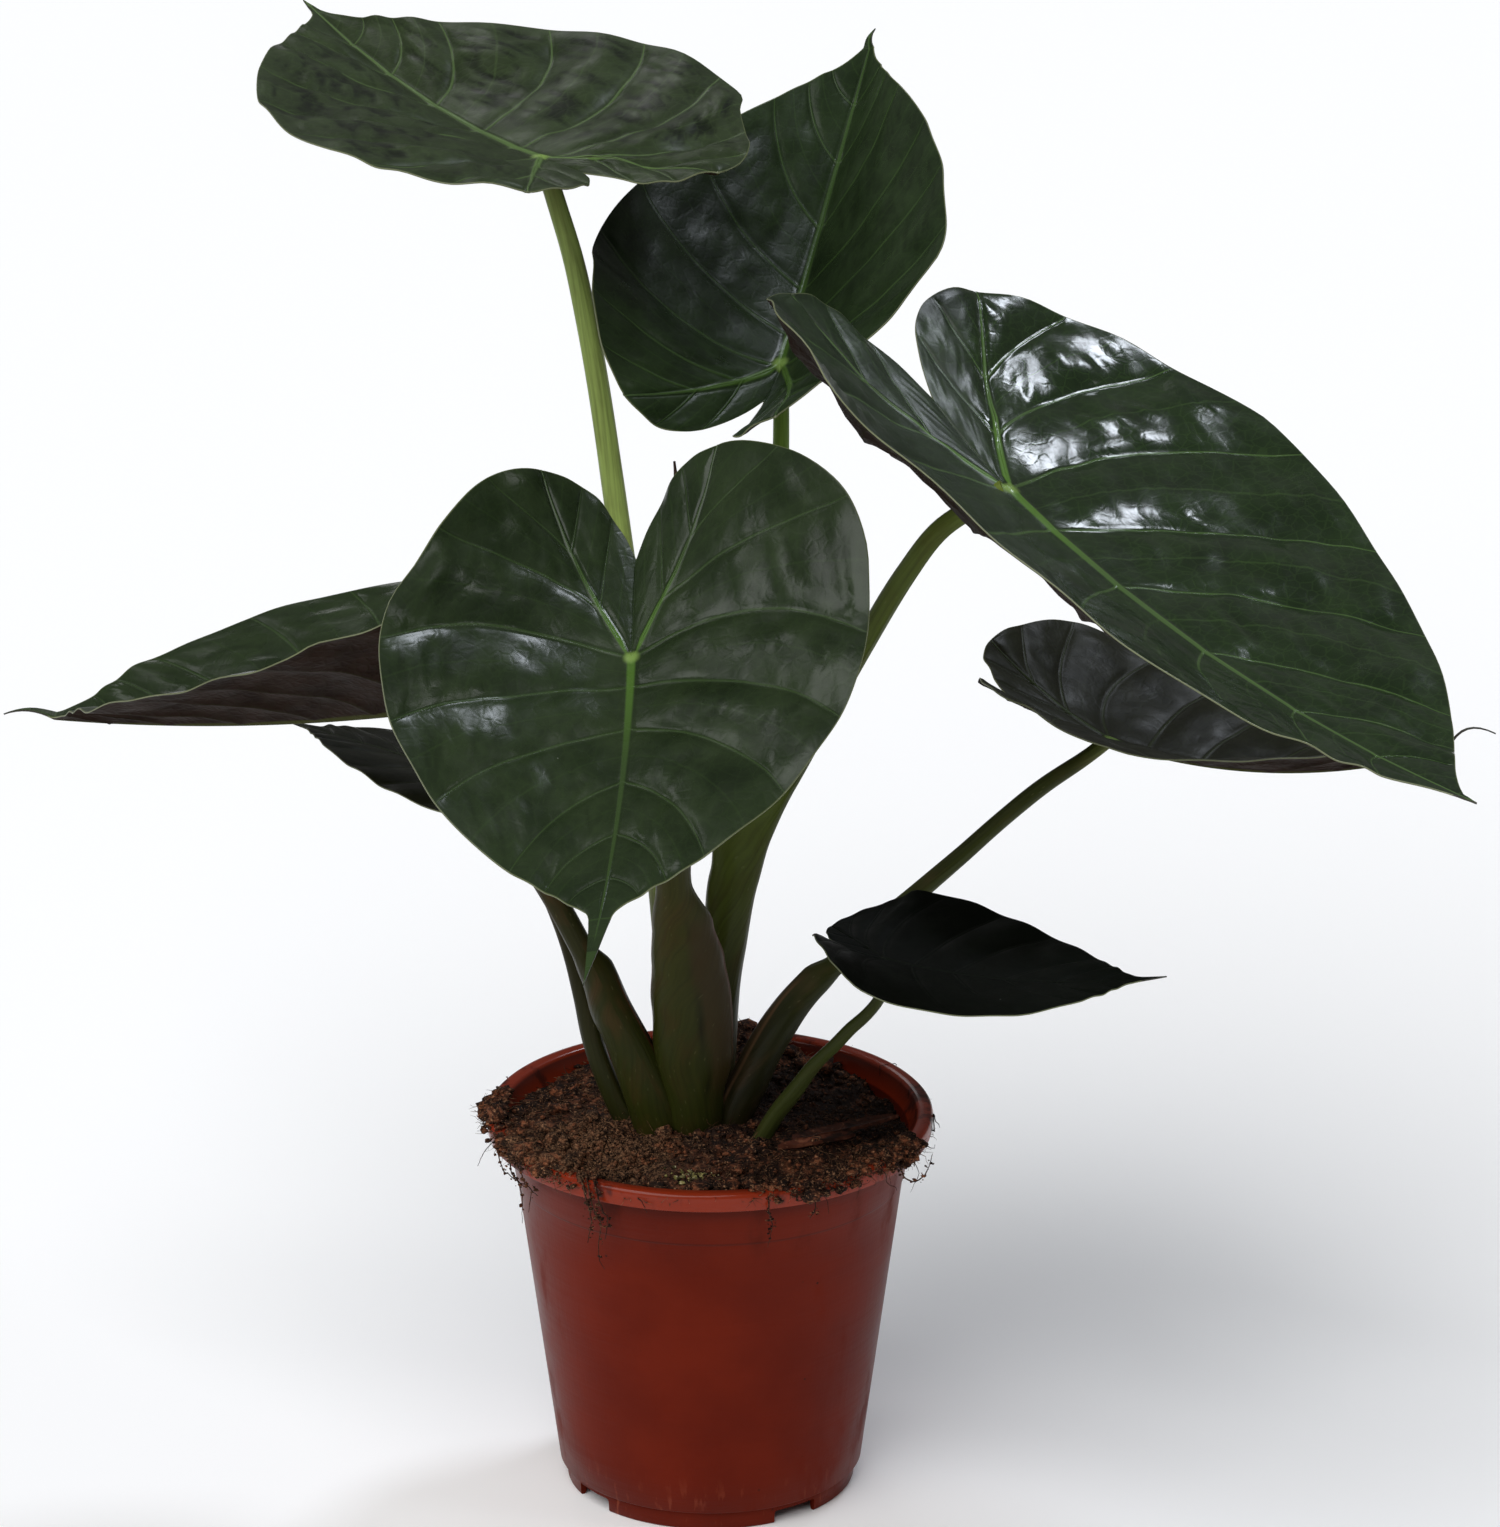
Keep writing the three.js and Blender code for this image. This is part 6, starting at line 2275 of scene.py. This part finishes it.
ROLLED_LEAF = StalkShape(
    ((-8, -8, 150), (-10, -8, 179), (-11, -8, 207), (-12, -7, 256), (-11, -7, 309), (-10, -8, 371),
     (-11, -8, 423), (-14, -8, 457)),
    90,
    (Section(0, 4.5, 4.5, 4.5, 4.5), Section(0.4, 4, 4, 4, 4), Section(0.86, 3, 3, 3, 3),
     Section(0.95, 1.6, 1.6, 1.6, 1.6), Section(1, 0.5, 0.5, 0.5, 0.5)),
)

OPEN_GREEN = BladeFinish(
    "blade_green", (31, 42, 24), (43, 55, 33), (54, 73, 38), (72, 104, 40), roughness=0.26, gloss=0.24,
)
# Its wrinkles' hollows get strong painted shade.
QUILTED_GREEN = BladeFinish(
    "blade_satin_green", (35, 45, 25), (50, 62, 38), (80, 102, 58), (86, 112, 58),
    roughness=0.38, gloss=0.15, hollow_shade=0.9,
)
DEEP_GREEN = BladeFinish(
    "blade_deep_green", (29, 41, 22), (40, 54, 31), (58, 80, 40), (70, 98, 40),
    roughness=0.3, gloss=0.15, hollow_shade=0.4,
)
GLOSSY_GREEN = BladeFinish(
    "blade_glossy_green", (22, 36, 16), (33, 49, 24), (72, 98, 50), (82, 118, 44),
    roughness=0.18, gloss=0.5, dull_right=0.22,
)
SHADED_GREEN = BladeFinish(
    "blade_dark_green", (32, 33, 21), (41, 43, 28), (52, 62, 34), (54, 68, 34), (84, 84, 56),
    roughness=0.4, gloss=0.12,
)
# Painted shade: the small leaf low under the right leaf is painted nearly black for the shade it lies in.
PAINTED_SHADE_GREEN = BladeFinish(
    "blade_painted_shade_green", (7, 10, 5), (9, 13, 7), (13, 19, 10), (14, 21, 10), (30, 34, 20),
    (20, 26, 13), 0.55, 0.06,
)
BLADE_FINISHES = {
    Leaf.TOP_LEFT: QUILTED_GREEN,
    Leaf.TOP_MIDDLE: DEEP_GREEN,
    Leaf.RIGHT: GLOSSY_GREEN,
    Leaf.LEFT_LOWER: SHADED_GREEN,
    Leaf.RIGHT_LOWER: SHADED_GREEN,
    Leaf.RIGHT_SMALL: PAINTED_SHADE_GREEN,
}
OLIVE_FOOT: Tint = (64, 66, 24)
STALK_FINISHES: dict[Leaf, StalkFinish] = {
    Leaf.TOP_LEFT: StalkFinish("stalk_pale_green", OLIVE_FOOT, (148, 168, 90), (92, 102, 46)),
    Leaf.TOP_MIDDLE: StalkFinish("stalk_bright_green", OLIVE_FOOT, (100, 128, 50), (88, 116, 42)),
    Leaf.FRONT: StalkFinish(
        "stalk_sheath", (46, 50, 15), (56, 56, 20), (66, 70, 28), (76, 46, 28), (56, 42, 24),
    ),
    Leaf.RIGHT: StalkFinish("stalk_olive", (50, 50, 17), (76, 88, 34), (104, 120, 48)),
    Leaf.LEFT: StalkFinish(
        "stalk_left_olive", (46, 50, 14), (41, 41, 15), (42, 38, 17), (96, 56, 34), (44, 38, 20),
    ),
    Leaf.LEFT_LOWER: StalkFinish("stalk_left_lower_olive", (44, 46, 18), (40, 38, 17), (38, 34, 17)),
    Leaf.RIGHT_LOWER: StalkFinish(
        "stalk_right_lower_olive", (30, 29, 9), (58, 64, 28), (84, 92, 42), (98, 74, 52), (76, 62, 44),
    ),
    Leaf.RIGHT_SMALL: StalkFinish("stalk_right_small_olive", (62, 68, 30), (54, 60, 26), (46, 50, 22)),
}
ROLLED_FINISH = StalkFinish("rolled_leaf_skin", (96, 92, 48), (112, 74, 44), (40, 28, 24), lip=(90, 60, 40))

PEAT = SoilFinish("peat", (26, 14, 9), (108, 64, 42), (152, 110, 80))
PEAT_CRUMB = SoilFinish("peat_crumb", (32, 17, 11), (138, 82, 54), (182, 134, 98), 420.0, 0.0005)
FIBRE = SoilFinish("peat_fibre", (56, 35, 24), (136, 98, 70), (168, 134, 100), 300.0, 0.0003)
ROOT = SoilFinish("root_skin", (40, 24, 17), (76, 48, 34), (104, 74, 54), 300.0, 0.0003)
BARK = SoilFinish("bark", (74, 38, 26), (116, 66, 46), (138, 92, 66), 180.0, 0.0008)
MOSS = SoilFinish(
    "moss", (112, 106, 54), (190, 178, 118), (224, 214, 172), 500.0, 0.0003, sand=(180, 166, 112),
)

HANGING_ROOTS: tuple[tuple[Place, ...], ...] = (
    ((-52, -72, 169), (-53, -79, 168.5), (-50.5, -82, 160), (-49, -74, 146), (-51, -72, 137)),
    ((-49, -74, 169), (-50.5, -81, 168), (-48, -83.5, 158), (-45, -77, 147), (-46, -76, 133),
     (-44, -75, 126)),
    ((-46, -76, 169), (-47, -83, 167.5), (-44, -85.5, 157), (-42, -79, 150), (-43.5, -78, 141)),
    ((-78, -44, 169), (-83, -48, 168), (-82, -51, 158), (-75, -46, 150), (-76, -45, 139)),
    ((-74, -50, 169), (-80, -54, 167), (-77, -56, 157), (-72, -51, 149)),
    ((-81, -38, 169), (-88, -40, 167.5), (-87, -42, 158), (-80, -38, 148), (-79, -40, 132)),
    ((24, -84, 169), (24.5, -91, 167), (25, -92.5, 158), (26, -86, 150), (24.5, -84, 140)),
    ((40, -78, 169), (43, -85, 167.5), (44, -86, 158), (42, -79, 151)),
    ((70, -54, 169), (78, -60, 167), (84, -61, 160), (89, -60, 161.5), (92, -58, 167), (93.5, -57, 171)),
)
BARK_CHIPS: tuple[tuple[Place, Place, float], ...] = (
    ((36, -40, 169.5), (78, -17, 170.5), 8.5),
    ((30, -49, 169.5), (60, -39, 171), 6.0),
    ((-8, 66, 173), (8, 74, 180), 6.0),
)

STALK_SEED = 60
ROLLED_SEED = 80


def main() -> None:
    """Builds the potted plant and its studio."""
    pot = NurseryPot()
    pieces = [pot.build(), *SoilDressing(SoilBed(), pot).build()]
    for number, leaf in enumerate(Leaf):
        name = leaf.value
        pieces.append(Blade(name, BLADES[leaf], BLADE_FINISHES.get(leaf, OPEN_GREEN)).build())
        seed = STALK_SEED + number
        stalk = Stalk(f"stem_{name}", f"stalk_{name}", STALKS[leaf], STALK_FINISHES[leaf], seed)
        pieces.append(stalk.build())
    rolled = Stalk("rolled_leaf", "young_leaf", ROLLED_LEAF, ROLLED_FINISH, ROLLED_SEED, tuck=0.0)
    pieces.append(rolled.build())
    Studio().build()
    for piece in pieces:
        log.info("%s: %d faces", piece.name, len(piece.data.polygons))


if __name__ == "__main__":
    logging.basicConfig(level=logging.INFO, format="%(message)s")
    main()
